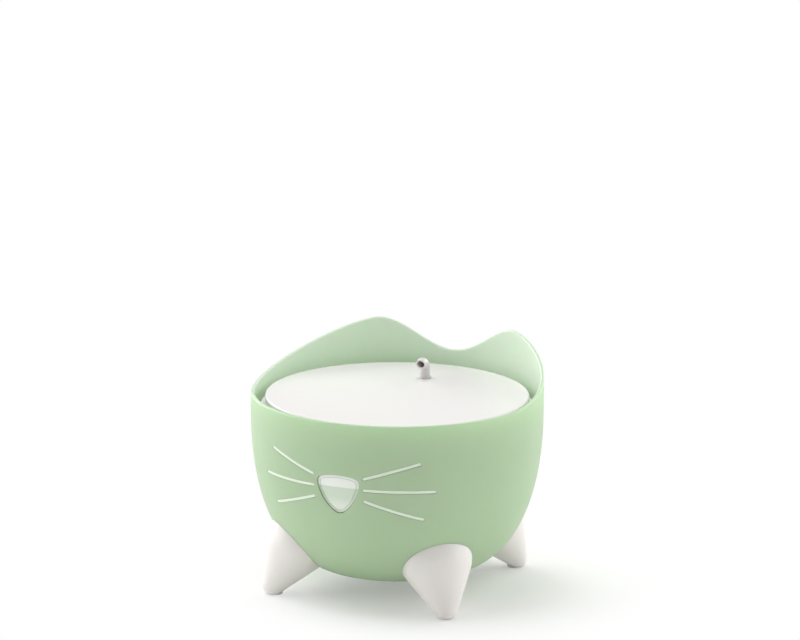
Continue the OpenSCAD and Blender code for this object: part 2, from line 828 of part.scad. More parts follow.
module bush(x0) {
    color("#3c3f41") at_pump() difference() {
        along_x(bush_r, x0, x0 + bush_l);
        along_x(shaft_r + run_gap, x0 - 1, x0 + bush_l + 1);
    }
}
module shaft_bush_rear() { bush(well_x + 0.05); }
module shaft_bush_front() { bush(cover_x - bush_l); }

// ---- cable entry and lamp on the end of the pump
module cable_gland() {
    color(plastic_white) at_pump() translate([-pump_l / 2, 0, gland_z]) rotate([0, -90, 0]) difference() {
        rotate_extrude() polygon([[0, 0], [4.2, 0], [4.2, 2.2], [3, gland_l], [0, gland_l]]);
        translate([0, 0, -1]) cylinder(r = cable_r + 0.1, h = gland_l);
    }
}
gland_l = 5;

module lamp_holder() {
    color(plastic_white) at_pump() translate([-pump_l / 2, 0, lamp_z]) rotate([0, -90, 0]) difference() {
        cylinder(r = lamp_r + 1.3, h = 1.2);
        translate([0, 0, -1]) cylinder(r = lamp_r, h = 3);
    }
}

module lamp_lens() {
    color(signal_red) at_pump() translate([-pump_l / 2 + 1, 0, lamp_z]) rotate([0, -90, 0])
        rotate_extrude() polygon(concat([[0, 0]], [for (i = [0:6]) let (a = 15 * i)
            [(lamp_r - 0.05) * cos(a), 1.6 + (lamp_r - 0.05) * sin(a)]], [[0, 3.1]]));
}

// ---- cable
function unit(v) = v / norm(v);

// Points on a smooth curve through the points p, with n steps between each two
function smooth_path(p, n) =
    let (last = len(p) - 1)
    concat([for (i = [0:last - 1], k = [0:n - 1])
        let (t = k / n, a = p[max(i - 1, 0)], b = p[i], c = p[i + 1], d = p[min(i + 2, last)])
        0.5 * ((2 * b) + (c - a) * t + (2 * a - 5 * b + 4 * c - d) * t * t
            + (3 * b - a - 3 * c + d) * t * t * t)], [p[last]]);

// Round tube of radius r along the points p; start and end are the directions at its two ends
module tube(p, r, sides, start, end) {
    last = len(p) - 1;
    tangents = [for (i = [0:last]) i == 0 ? unit(start) : i == last ? unit(end) : unit(p[i + 1] - p[i - 1])];
    first_up = abs(tangents[0][2]) > 0.9 ? [1, 0, 0] : [0, 0, 1];
    normals = [for (i = 0, u = unit(first_up - (first_up * tangents[0]) * tangents[0]); i <= last;
        i = i + 1, u = i <= last ? unit(u - (u * tangents[i]) * tangents[i]) : u) u];
    points = [for (i = [0:last], k = [0:sides - 1])
        let (v = cross(tangents[i], normals[i]), a = 360 * (k + 0.5) / sides)
        p[i] + r * (cos(a) * normals[i] + sin(a) * v)];
    walls = [for (i = [0:last - 1], k = [0:sides - 1])
        let (m = (k + 1) % sides, a = i * sides)
        each [[a + k, a + sides + m, a + m], [a + k, a + sides + k, a + sides + m]]];
    caps = [[for (k = [0:sides - 1]) k], [for (k = [sides - 1:-1:0]) last * sides + k]];
    polyhedron(points, concat(walls, caps));
}

// The cable leaves the gland, turns back past the pump, climbs to the column, goes over its
// front wall, down inside it, out through the port and along the table to the coil.
pump_route = [[-24.75, 24.25, 43.6], [-29, 20, 43.8], [-34.5, 16.4, 45], [-40.5, 16.8, 46.6],
    [-44.6, 21.5, 48], [-44.8, 28, 49.2], [-41.3, 34.5, 50], [-36, 41, 50], [-28, 50, 50], [-20, 58, 50]];
run_route = [[-20, 58, 50], [-15, 63, 50.4], [-10, 68, 54], [-5.5, 72.4, 61], [-2.4, 75.3, 71],
    [-0.6, 76.8, 83], [0, 77.5, 96], [0, 77.5, 106], [0, 77.8, 116], [0, 79.8, 120.8],
    [0, 84.8, 123.1], [0, 89.8, 120.8], [0, 91.8, 116], [0, 92, 106], [0, 92, 84], [0, 92, 62],
    [0, 92, 40], [0, 92, 20], [0, 92.8, 11], [0, 95.8, 4.6], [-0.4, 101.6, 1.8], [-2.6, 109, 1.6],
    [-8, 116.4, 1.6], [-14.6, 123, 1.6], [-19, 129.4, 1.6], [-20, 136, 1.6]];
cable_top_z = 123.1;
port_z = 62;
coil_out_r = coil_in_r + coil_pitch * coil_turns / 2;
coil_x = run_route[len(run_route) - 1][0] - coil_out_r;
coil_y = run_route[len(run_route) - 1][1];
coil_z = run_route[len(run_route) - 1][2];

// Middle of the cable after t turns: in along the lower layer, up in half a turn, out again above
function coil_point(t) =
    let (back = t - coil_turns / 2,
        r = coil_in_r + coil_pitch * abs(back),
        climb = min(max(back / 0.5 + 0.5, 0), 1),
        z = coil_z + (coil_pitch - 0.05) * (1 - cos(180 * climb)) / 2)
    [coil_x + r * cos(360 * t), coil_y + r * sin(360 * t), z];

coil_sides = 6;
coil_rings = 24;
coil_points = [for (i = [0:coil_rings * coil_turns]) coil_point(i / coil_rings)];
coil_last = coil_points[len(coil_points) - 1];
plug_x = coil_last[0] - 15;
plug_body_l = 22;
plug_z = 4.2;
lead_out = [[coil_last[0] - 5, coil_last[1] + 0.3, coil_last[2] - 0.2],
    [plug_x + cable_d, coil_last[1] + 0.3, plug_z], [plug_x, coil_last[1] + 0.3, plug_z]];

// Least gap between turns that pass each other, measured at the rings
coil_gap = min([for (i = [0:len(coil_points) - 1], j = [i + 12:len(coil_points) - 1])
    if (j < len(coil_points)) norm(coil_points[i] - coil_points[j])]) - cable_d;
echo(least_gap_of_coil = coil_gap);  // cable_coil

module cable_at_pump() {
    color(plastic_white) tube(smooth_path(pump_route, 3), cable_r, 8, [-1, -1, 0], [1, 1, 0]);
}

module cable_run() {
    color(plastic_white) tube(smooth_path(run_route, 3), cable_r, 8, [1, 1, 0], [0, 1, 0]);
}

module cable_coil() {
    color(plastic_white) tube(concat(coil_points, lead_out), cable_r, coil_sides, [0, 1, 0], [-1, 0, 0]);
}

module usb_plug() {
    color(plastic_white) translate([plug_x, lead_out[2][1], plug_z]) rotate([0, -90, 0]) {
        translate([-4, -7.8, 6]) linear_extrude(plug_body_l - 6) rounded_square([8, 15.6], 2.4);
        rotate_extrude() polygon([[0, 0], [2.4, 0], [3.6, 6 + eps], [0, 6 + eps]]);
    }
}

module usb_shell() {
    shell_l = 12;
    shell_x = plug_x - plug_body_l;
    color(steel) translate([shell_x, lead_out[2][1], plug_z]) rotate([0, -90, 0]) difference() {
        translate([-2.25, -6, 0]) cube([4.5, 12, shell_l]);
        translate([-0.2, -5.6, 2]) cube([2.05, 11.2, shell_l]);
    }
}

bowl();
nose_window();
whisker_insert_left();
whisker_insert_right();
foot_front_left();
foot_front_right();
foot_rear_left();
foot_rear_right();
foot_pads();
filter_tray();
connector_cap();
cap_strap();
filter_fleece();
filter_pad_front_left();
filter_pad_rear_left();
filter_pad_front_right();
filter_pad_rear_right();
lid();
spout();
hose();
pump_housing();
pump_base_plate();
inlet_cover();
stator_core();
stator_winding();
rotor_magnet();
impeller();
rotor_shaft();
shaft_bush_rear();
shaft_bush_front();
cable_gland();
lamp_holder();
lamp_lens();
cable_at_pump();
cable_run();
cable_coil();
usb_plug();
usb_shell();
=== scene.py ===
# Pet drinking fountain: a round bowl on four feet, with a filter tray, a lid, a spout and a small pump.
# Each piece is shaped in millimetres and scaled to metres when it is finished.
import math
import random

import bmesh
import bpy
from mathutils import Matrix, Vector, noise


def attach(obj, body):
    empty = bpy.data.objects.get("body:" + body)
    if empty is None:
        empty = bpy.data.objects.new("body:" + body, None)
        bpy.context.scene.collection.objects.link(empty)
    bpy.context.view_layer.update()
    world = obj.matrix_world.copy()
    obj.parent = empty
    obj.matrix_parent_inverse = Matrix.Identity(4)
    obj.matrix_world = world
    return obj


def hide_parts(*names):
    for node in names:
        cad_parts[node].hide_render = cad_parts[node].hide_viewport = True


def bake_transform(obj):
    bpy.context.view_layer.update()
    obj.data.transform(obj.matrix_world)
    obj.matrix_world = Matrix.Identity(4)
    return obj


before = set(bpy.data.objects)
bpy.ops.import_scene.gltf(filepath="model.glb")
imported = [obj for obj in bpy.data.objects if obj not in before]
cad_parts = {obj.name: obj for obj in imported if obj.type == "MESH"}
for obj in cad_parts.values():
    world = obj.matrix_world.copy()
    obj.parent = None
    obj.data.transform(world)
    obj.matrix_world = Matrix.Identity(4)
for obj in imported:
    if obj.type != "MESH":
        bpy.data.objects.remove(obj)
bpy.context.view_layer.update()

# ---- Camera, table and light
# A long lens looks down on the fountain from the front right. The table is pale and seamless,
# low softboxes at both sides give the walls their pale edges, and one above lights the tops.
azimuth, elevation, distance = math.radians(23.5), math.radians(14.2), 2.240
middle = Vector((0, 0, 0.139))
eye = middle + distance * Vector((math.cos(elevation) * math.sin(azimuth),
                                  -math.cos(elevation) * math.cos(azimuth), math.sin(elevation)))
camera = bpy.data.objects.new("camera", bpy.data.cameras.new("camera"))
camera.data.lens = 144
camera.data.sensor_width = 36
camera.matrix_world = (Matrix.Translation(eye) @ (middle - eye).to_track_quat("-Z", "Y").to_matrix().to_4x4()
                       @ Matrix.Rotation(math.radians(1.244), 4, "X")
                       @ Matrix.Rotation(math.radians(-0.04), 4, "Y")
                       @ Matrix.Rotation(math.radians(0.3), 4, "Z"))
bpy.context.scene.collection.objects.link(camera)
bpy.context.scene.camera = camera
bpy.context.scene.view_settings.view_transform = "Standard"


def linear(colour):
    """An sRGB hex colour as the linear values that shaders work with."""
    channels = [int(colour[i:i + 2], 16) / 255 for i in (1, 3, 5)]
    return tuple(c / 12.92 if c <= 0.04045 else ((c + 0.055) / 1.055) ** 2.4 for c in channels) + (1.0,)


def add_node(tree, kind, settings={}, inputs={}):
    """Adds a node. Settings are its options; an input is given a value or the socket that feeds it."""
    node = tree.nodes.new("ShaderNode" + kind)
    for name, value in settings.items():
        setattr(node, name, value)
    for name, value in inputs.items():
        if isinstance(value, bpy.types.NodeSocket):
            tree.links.new(value, node.inputs[name])
        else:
            node.inputs[name].default_value = value
    return node


def new_material(name):
    """An empty material: returns it, its node tree and the place on the object that its patterns follow."""
    material = bpy.data.materials.new(name)
    material.use_nodes = True
    material.node_tree.nodes.clear()
    return material, material.node_tree, add_node(material.node_tree, "TexCoord").outputs["Object"]


def white_to_the_eye(tree, shader, share):
    """Mixes plain white into what the camera, mirrors and glass see of a backdrop."""
    path = add_node(tree, "LightPath")
    seen = add_node(tree, "Math", {"operation": "MAXIMUM"},
                    {0: path.outputs["Is Camera Ray"], 1: path.outputs["Is Glossy Ray"]})
    seen = add_node(tree, "Math", {"operation": "MAXIMUM"},
                    {0: seen.outputs[0], 1: path.outputs["Is Transmission Ray"]})
    seen = add_node(tree, "Math", {"operation": "MULTIPLY"}, {0: seen.outputs[0], 1: share})
    white = add_node(tree, "Emission", {}, {"Color": (1, 1, 1, 1), "Strength": 1.0})
    return add_node(tree, "MixShader", {}, {0: seen.outputs[0], 1: shader, 2: white.outputs[0]}).outputs[0]


# Matt paper: it takes the soft shadow near the fountain and goes over to plain white further out
paper, tree, place = new_material("matt white paper")
paper_face = add_node(tree, "BsdfDiffuse", {}, {"Color": linear("#f6f7f4"), "Roughness": 0.5})
paper_reach = add_node(tree, "VectorMath", {"operation": "DISTANCE"}, {0: place, 1: (0.03, 0.012, 0)})
paper_share = add_node(tree, "MapRange", {"interpolation_type": "SMOOTHSTEP"},
                       {"Value": paper_reach.outputs["Value"], "From Min": 0.07, "From Max": 0.17,
                        "To Min": 0.2, "To Max": 1.0})
paper_mix = white_to_the_eye(tree, paper_face.outputs[0], paper_share.outputs[0])
add_node(tree, "OutputMaterial", {}, {"Surface": paper_mix})

bm = bmesh.new()
bmesh.ops.create_grid(bm, x_segments=1, y_segments=1, size=30)
table_mesh = bpy.data.meshes.new("table")
bm.to_mesh(table_mesh)
bm.free()
table_mesh.materials.append(paper)
table = bpy.data.objects.new("table", table_mesh)
table.location.z = -0.0002
bpy.context.scene.collection.objects.link(table)

room = bpy.data.worlds.new("bright room")
room.use_nodes = True
room.node_tree.nodes.clear()
room_light = add_node(room.node_tree, "Background", {}, {"Color": (1, 1, 1, 1), "Strength": 0.46})
room_path = add_node(room.node_tree, "LightPath")
room_white = add_node(room.node_tree, "Background", {}, {"Color": (1, 1, 1, 1), "Strength": 1.0})
room_mix = add_node(room.node_tree, "MixShader", {}, {0: room_path.outputs["Is Camera Ray"],
                                                      1: room_light.outputs[0], 2: room_white.outputs[0]})
add_node(room.node_tree, "OutputWorld", {}, {"Surface": room_mix.outputs[0]})
bpy.context.scene.world = room

softbox_aim, softbox_width = Vector((0, 0, 0.12)), 1.2
for name, place, watts in (("softbox left", (-1.5, -0.7, 0.6), 12), ("softbox behind left", (-1.55, 0.6, 0.6), 20),
                           ("softbox behind right", (0.75, 1.6, 0.6), 17), ("softbox right", (1.6, 0.5, 0.6), 10),
                           ("softbox above", (-0.3, 0.1, 1.9), 17)):
    lamp = bpy.data.lights.new(name, "AREA")
    lamp.shape = "SQUARE"
    lamp.size = softbox_width
    lamp.energy = watts
    lamp_object = bpy.data.objects.new(name, lamp)
    lamp_object.matrix_world = (Matrix.Translation(place)
                                @ (softbox_aim - Vector(place)).to_track_quat("-Z", "Y").to_matrix().to_4x4())
    bpy.context.scene.collection.objects.link(lamp_object)

# ---- Cable
# A white PVC cable 3.2 mm thick and about 1.57 m long, of fine copper strands. It leaves the pump's gland,
# goes up and over the cable column, down inside it, out through the port and along the table to a coil.
pump_route = [(-24.75, 24.25, 43.6), (-29, 20, 43.8), (-34.5, 16.4, 45), (-40.5, 16.8, 46.6), (-44.6, 21.5, 48),
              (-44.8, 28, 49.2), (-41.3, 34.5, 50), (-36, 41, 50), (-28, 50, 50)]
run_route = [(-20, 58, 50), (-15, 63, 50.4), (-10, 68, 54), (-5.5, 72.4, 61), (-2.4, 75.3, 71), (-0.6, 76.8, 83),
             (0, 77.5, 96), (0, 77.5, 106), (0, 77.8, 116), (0, 79.8, 120.8), (0, 84.8, 123.1), (0, 89.8, 120.8),
             (0, 91.8, 116), (0, 92, 106), (0, 92, 84), (0, 92, 62), (0, 92, 40), (0, 92, 20), (0, 92.8, 11),
             (0, 95.8, 4.6), (-0.4, 101.6, 1.8), (-2.6, 109, 1.6), (-8, 116.4, 1.6), (-14.6, 123, 1.6),
             (-19, 129.4, 1.6), (-20, 136, 1.6)]
cable_d, coil_turns, coil_pitch, coil_in_r = 3.2, 10.25, 3.75, 9.4


def smooth_path(points, steps):
    """A smooth curve through the points, with so many steps between each two."""
    points = [Vector(p) for p in points]
    path = []
    for i in range(len(points) - 1):
        a, b, c, d = points[max(i - 1, 0)], points[i], points[i + 1], points[min(i + 2, len(points) - 1)]
        for k in range(steps):
            t = k / steps
            path.append(0.5 * (2 * b + (c - a) * t + (2 * a - 5 * b + 4 * c - d) * t ** 2
                               + (3 * b - a - 3 * c + d) * t ** 3))
    return path + [points[-1]]


def coil_point(turn):
    """The middle of the cable after so many turns: in along the lower layer, up, and out again above."""
    coil_out_r = coil_in_r + coil_pitch * coil_turns / 2
    back = turn - coil_turns / 2
    r = coil_in_r + coil_pitch * abs(back)
    climb = min(max(back / 0.5 + 0.5, 0), 1)
    z = 1.6 + (coil_pitch - 0.05) * (1 - math.cos(math.pi * climb)) / 2
    a = 2 * math.pi * turn
    return Vector((-20 - coil_out_r + r * math.cos(a), 136 + r * math.sin(a), z))


coil_path = [coil_point(i / 36) for i in range(int(36 * coil_turns) + 1)]
coil_end = coil_path[-1]
plug_x, plug_y, plug_z = coil_end.x - 15, coil_end.y + 0.3, 4.2
lead_out = [Vector((coil_end.x - 5, plug_y, coil_end.z - 0.2)), Vector((plug_x + cable_d, plug_y, plug_z)),
            Vector((plug_x, plug_y, plug_z))]
cable_path = smooth_path(pump_route + run_route, 4) + coil_path[1:] + lead_out


def tube_along(path, radius, sides):
    """A round tube along a path: a ring is extruded from point to point, and both ends are closed."""
    bm = bmesh.new()
    side = Vector((1, 0, 0)) if abs((path[1] - path[0]).normalized().z) > 0.9 else Vector((0, 0, 1))
    before = Matrix.Identity(4)
    edges = []
    for i, point in enumerate(path):
        along = (path[min(i + 1, len(path) - 1)] - path[max(i - 1, 0)]).normalized()
        side = (side - side.dot(along) * along).normalized()
        here = Matrix((side, along.cross(side), along)).transposed().to_4x4()
        here.translation = point
        if i == 0:
            ring = bmesh.ops.create_circle(bm, cap_ends=True, segments=sides, radius=radius, matrix=here)["verts"]
            edges = bm.edges[:]
        else:
            new = bmesh.ops.extrude_edge_only(bm, edges=edges)["geom"]
            ring = {v for v in new if isinstance(v, bmesh.types.BMVert)}
            bmesh.ops.transform(bm, matrix=here @ before.inverted(), verts=list(ring))
            edges = [e for e in new if isinstance(e, bmesh.types.BMEdge) and set(e.verts) <= ring]
        before = here
    bmesh.ops.edgeloop_fill(bm, edges=edges)
    bmesh.ops.recalc_face_normals(bm, faces=bm.faces)
    return bm


def shift(bm, x=0, y=0, z=0):
    """Moves a shape."""
    bmesh.ops.translate(bm, vec=(x, y, z), verts=bm.verts)
    return bm


def place_by(bm, matrix):
    """Moves and turns a shape by a matrix."""
    bmesh.ops.transform(bm, matrix=matrix, verts=bm.verts)
    return bm


def turn_by(bm, degrees, axis):
    """Turns a shape about an axis through the origin."""
    bmesh.ops.rotate(bm, matrix=Matrix.Rotation(math.radians(degrees), 3, axis), verts=bm.verts)
    return bm


def finish_piece(name, bm, material, body, nodes=(), crease=35):
    """Turns a shape in millimetres into a piece in metres that rides on a body and stands for CAD nodes."""
    bmesh.ops.scale(bm, vec=(0.001, 0.001, 0.001), verts=bm.verts)
    mesh = bpy.data.meshes.new(name)
    bm.to_mesh(mesh)
    bm.free()
    mesh.materials.append(material)
    mesh.shade_smooth()
    mesh.set_sharp_from_angle(angle=math.radians(crease))
    piece = bpy.data.objects.new(name, mesh)
    piece.modifiers.new("keep flats flat", "WEIGHTED_NORMAL").keep_sharp = True
    bpy.context.scene.collection.objects.link(piece)
    if body:
        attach(piece, body)
    if nodes:
        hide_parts(*nodes)
    return piece


def moulded(name, colour, other, roughness, grain, depth, edge=0.0, through=0.0, tint=None, **shader):
    """A moulded surface: two near shades drift into each other, and the mould leaves a fine grain. Grain and depth
    are the size and height of that grain and edge is how far edges look rounded, in millimetres. Through is the
    share of light that a thin wall lets pass. Tint may change the shade by place."""
    material, tree, place = new_material(name)
    drift = add_node(tree, "TexNoise", {}, {"Vector": place, "Scale": 22.0, "Detail": 2.0})
    shade = add_node(tree, "Mix", {"data_type": "RGBA"}, {0: drift.outputs[0], 6: linear(colour), 7: linear(other)})
    if tint:
        shade = tint(tree, place, shade.outputs[2])
    pits = add_node(tree, "TexNoise", {}, {"Vector": place, "Scale": 1000 / grain, "Detail": 1.0})
    gloss = add_node(tree, "MapRange", {}, {"Value": drift.outputs[0], "To Min": roughness - 0.03,
                                            "To Max": roughness + 0.03})
    relief = {"Height": pits.outputs[0], "Strength": 0.5, "Distance": depth / 1000}
    if edge:
        relief["Normal"] = add_node(tree, "Bevel", {"samples": 6}, {"Radius": edge / 1000}).outputs[0]
    relief = add_node(tree, "Bump", {}, relief)
    inputs = {"Base Color": shade.outputs[2], "Roughness": gloss.outputs[0], "Normal": relief.outputs[0]}
    inputs.update(shader)
    face = add_node(tree, "BsdfPrincipled", {}, inputs).outputs[0]
    if through:
        glow = add_node(tree, "BsdfTranslucent", {}, {"Color": shade.outputs[2], "Normal": relief.outputs[0]})
        face = add_node(tree, "MixShader", {}, {0: through, 1: face, 2: glow.outputs[0]}).outputs[0]
    add_node(tree, "OutputMaterial", {}, {"Surface": face})
    return material


# PVC cable sheath, extruded: smooth, a little soft, satin
sheath = moulded("extruded PVC", "#efeeec", "#e9e8e6", 0.38, 1.5, 0.01, IOR=1.53)
cable = finish_piece("cable", tube_along(cable_path, cable_d / 2, 12), sheath, None,
                     ("cable_at_pump", "cable_run", "cable_coil"), 60)
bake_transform(cable)

# ---- USB plug
# The cable ends in a USB-A plug: a moulded PVC body with a bend relief and grip ribs, round a folded steel shell
# that holds a dark tongue. It lies flat behind the coil.
def rounded_outline(width, height, corner, steps=5):
    """The corner points of a rounded rectangle round the origin, anticlockwise."""
    outline = []
    for x, y, start in ((1, 1, 0), (-1, 1, 90), (-1, -1, 180), (1, -1, 270)):
        for k in range(steps + 1):
            a = math.radians(start + 90 * k / steps)
            outline.append((x * (width / 2 - corner) + corner * math.cos(a),
                            y * (height / 2 - corner) + corner * math.sin(a)))
    return outline


def plate(outline, low, high, edge=0.0, segments=3):
    """A flat plate between two heights from an outline seen from above, its edges rounded where edge is given."""
    bm = bmesh.new()
    face = bm.faces.new([bm.verts.new((x, y, low)) for x, y in outline])
    raised = bmesh.ops.extrude_face_region(bm, geom=[face])["geom"]
    bmesh.ops.translate(bm, vec=(0, 0, high - low), verts=[v for v in raised if isinstance(v, bmesh.types.BMVert)])
    bmesh.ops.recalc_face_normals(bm, faces=bm.faces)
    if edge:
        level = [e for e in bm.edges if abs(e.verts[0].co.z - e.verts[1].co.z) < 1e-6]
        bmesh.ops.bevel(bm, geom=level, offset=edge, segments=segments, profile=0.5, affect="EDGES", material=-1)
    return bm


def revolve(profile, steps=64, closed=False):
    """Turns a profile of (radius, height) points about Z. Points on the axis close it."""
    bm = bmesh.new()
    verts = [bm.verts.new((r, 0, z)) for r, z in profile]
    pairs = list(zip(verts, verts[1:])) + ([(verts[-1], verts[0])] if closed else [])
    edges = [bm.edges.new(pair) for pair in pairs]
    bmesh.ops.spin(bm, geom=verts + edges, cent=(0, 0, 0), axis=(0, 0, 1), angle=2 * math.pi, steps=steps,
                   use_merge=True)
    bmesh.ops.remove_doubles(bm, verts=bm.verts, dist=1e-5)
    bmesh.ops.dissolve_degenerate(bm, dist=1e-6, edges=bm.edges)
    bmesh.ops.recalc_face_normals(bm, faces=bm.faces)
    return bm


def combine(bm, other, how="DIFFERENCE"):
    """The union, difference or intersection of two closed shapes, by Blender's exact Boolean. Uses both up."""
    objects = []
    for shape in (bm, other):
        mesh = bpy.data.meshes.new("part of a shape")
        shape.to_mesh(mesh)
        shape.free()
        objects.append(bpy.data.objects.new("part of a shape", mesh))
        bpy.context.scene.collection.objects.link(objects[-1])
    boolean = objects[0].modifiers.new("combine", "BOOLEAN")
    boolean.operation, boolean.solver, boolean.object = how, "EXACT", objects[1]
    result = bmesh.new()
    result.from_object(objects[0], bpy.context.evaluated_depsgraph_get())
    for item in objects:
        mesh = item.data
        bpy.data.objects.remove(item)
        bpy.data.meshes.remove(mesh)
    return result


def join(bm, *others):
    """One bmesh that holds several separate shapes."""
    for other in others:
        mesh = bpy.data.meshes.new("part of a shape")
        other.to_mesh(mesh)
        other.free()
        bm.from_mesh(mesh)
        bpy.data.meshes.remove(mesh)
    return bm


plug_frame = Matrix.Translation((plug_x, plug_y, plug_z)) @ Matrix.Rotation(math.radians(-90), 4, "Y")
plug = plate(rounded_outline(8, 15.6, 2.4), 6, 22, 0.8)
for z in (9, 11, 13, 15):
    for side in (-1, 1):
        groove = plate(rounded_outline(9, 1.2, 0.3, 2), -0.5, 0.5)
        turn_by(groove, 90, "X")
        shift(groove, y=side * 7.9, z=z)
        plug = combine(plug, groove)
plug = join(plug, revolve([(0, 0), (2.2, 0), (2.4, 0.3), (2.7, 1.6), (2.5, 1.8), (2.8, 3.0), (3.1, 3.2),
                           (3.1, 4.4), (3.5, 4.7), (3.6, 6.2), (0, 6.2)], 24))
place_by(plug, plug_frame)
plug_piece = finish_piece("usb_plug_body", plug, sheath, "bowl", ("usb_plug",))

folded_steel = moulded("nickel-plated folded steel", "#b9bcc0", "#aeb1b6", 0.28, 1.0, 0.004, 0.3, Metallic=1.0)
shell = combine(plate(rounded_outline(4.5, 12, 0.5, 3), 0, 12), plate(rounded_outline(3.9, 11.4, 0.4, 3), 1, 13))
for x, y in ((2, 2.9), (2, -2.9), (-2, 2.9), (-2, -2.9)):
    window = plate(rounded_outline(2, 2.2, 0.1, 2), 5, 7)
    shift(window, x=x, y=y)
    shell = combine(shell, window)
place_by(shell, plug_frame @ Matrix.Translation((0, 0, 22)))
shell_piece = finish_piece("usb_plug_shell", shell, folded_steel, "bowl", ("usb_shell",))
tongue_black = moulded("black PBT", "#232326", "#2a2a2d", 0.45, 0.8, 0.01, 0.2)
tongue = plate(rounded_outline(1.8, 11, 0.2, 2), 0.5, 11)
place_by(tongue, plug_frame @ Matrix.Translation((-0.9, 0, 22)))
tongue_piece = finish_piece("usb_plug_tongue", tongue, tongue_black, "bowl", ())

# ---- Bowl
# One injection-moulded bowl of pastel green polypropylene, 2.6 mm thick, a little translucent. Its rim rises at the
# back to two ears. A hollow column inside the back wall hides the cable, and four ribs carry the tray.
bowl_r, bowl_wall, base_z, belly_z, rim_z, pole_z = 102.5, 2.6, 14, 121, 139, 11
ear_rise, valley_rise, ear_angle, ear_end = 29.5, 7, 32, 115


def bowl_curve(inset, z):
    """Radius of the bowl's surface at a height, set in from the outside."""
    if z >= belly_z:
        return bowl_r - inset
    return (bowl_r - inset) * (1 - ((belly_z - z) / (belly_z - pole_z - inset)) ** 2) ** 0.25


def wall_line(inset, top, steps=36):
    """The bowl's profile from its floor to its belly and on up to a height."""
    low = base_z + inset
    line = [(bowl_curve(inset, z), z) for z in (low + (belly_z - low) * (i / steps) ** 2 for i in range(steps + 1))]
    return line + [(bowl_r - inset, belly_z + (top - belly_z) * i / 6) for i in range(1, 7)]


def round_foot(line, radius, steps=6):
    """A profile from the axis to the start of a line, with the corner between floor and wall rounded."""
    (r, z), (r1, z1) = line[0], line[6]
    slope = Vector((r1 - r, z1 - z)).normalized()
    start, end = Vector((r - radius, z)), Vector((r, z)) + slope * radius
    curve = [(1 - t) ** 2 * start + 2 * t * (1 - t) * Vector((r, z)) + t * t * end
             for t in (i / steps for i in range(steps + 1))]
    kept = [p for p in line if p[1] > end.y + 0.2]
    return [(0, z), (r * 0.4, z)] + [tuple(p) for p in curve] + kept


def rod(r, low, high, steps):
    """A round bar on the Z axis between two heights."""
    return revolve([(0, low), (r, low), (r, high), (0, high)], steps)


def bowl_block(inset, top, steps=128):
    """The bowl's shape as one solid, for cutting other pieces to fit it."""
    return revolve([(0, base_z + inset)] + wall_line(inset, top) + [(0, top)], steps)


def rim_height(b):
    """Height of the rim at an angle in degrees from the back."""
    if b < ear_angle:
        return rim_z + valley_rise + (ear_rise - valley_rise) * (1 - math.cos(math.pi * b / ear_angle)) / 2
    if b < ear_end:
        u = ((b - ear_angle) / (ear_end - ear_angle)) ** 0.7
        return rim_z + ear_rise * (1 + math.cos(math.pi * u)) / 2
    return rim_z


def outward_plate(outline, near, far, edge=0.0):
    """A plate from an outline drawn on the front, standing between two distances in front of the middle."""
    bm = plate(outline, near, far, edge)
    turn_by(bm, 90, "X")
    return bm


face_z, whisker_w = 91, 2.2


def nose_outline(grow=0.0):
    """A triangle with curved sides, soft corners and its tip down, grown outward: where three circles overlap."""
    outline = []
    for k in range(90):
        dx, dz = math.cos(math.radians(4 * k)), math.sin(math.radians(4 * k))
        total = 0
        for x, z, r in ((-17.9, 11.8, 34.15), (17.9, 11.8, 34.15), (0, -48, 60)):
            along = dx * x + dz * z
            total += (along + math.sqrt(along * along - x * x - z * z + (r + grow) ** 2)) ** -7
        reach = total ** (-1 / 7)
        outline.append((reach * dx, face_z - 0.3 + reach * dz))
    return outline


def whisker_outlines(side, width):
    """The outlines of the three whiskers of one side."""
    outlines = []
    for k in (-1, 0, 1):
        start = Vector((side * 19, face_z + 2.4 + 8.2 * k))
        end = Vector((side * (62 if k == 0 else 54), face_z + 1.6 + 20 * k))
        turn = math.atan2(end.y - start.y, end.x - start.x)
        arcs = [(start, 90), (end, -90)]
        outlines.append([tuple(p + width / 2 * Vector((math.cos(turn + math.radians(a + 15 * i)),
                                                       math.sin(turn + math.radians(a + 15 * i)))))
                         for p, a in arcs for i in range(13)])
    return outlines


lip = [(bowl_r - 1.3 + 1.3 * math.cos(a), rim_z - 1.3 + 1.3 * math.sin(a))
       for a in (math.pi * i / 8 for i in range(9))]
profile = (round_foot(wall_line(0, rim_z - 1.3), 8) + lip[1:-1]
           + list(reversed(round_foot(wall_line(bowl_wall, rim_z - 1.3), 6))))
bowl = revolve(profile, 192)
for v in bowl.verts:
    if v.co.z > belly_z:
        share = min((v.co.z - belly_z) / (rim_z - 1.3 - belly_z), 1)
        v.co.z += (rim_height(abs(math.degrees(math.atan2(v.co.x, v.co.y)))) - rim_z) * share
for outline in [nose_outline()] + whisker_outlines(-1, whisker_w) + whisker_outlines(1, whisker_w):
    bowl = combine(bowl, outward_plate(outline, 45, 110))

# The cable port is a rounded opening through the back wall into the foot of the column.
port = plate(rounded_outline(15.8, 20, 3), -110, -85.6)
turn_by(port, 90, "X")
shift(port, z=62)
bowl = combine(bowl, port)

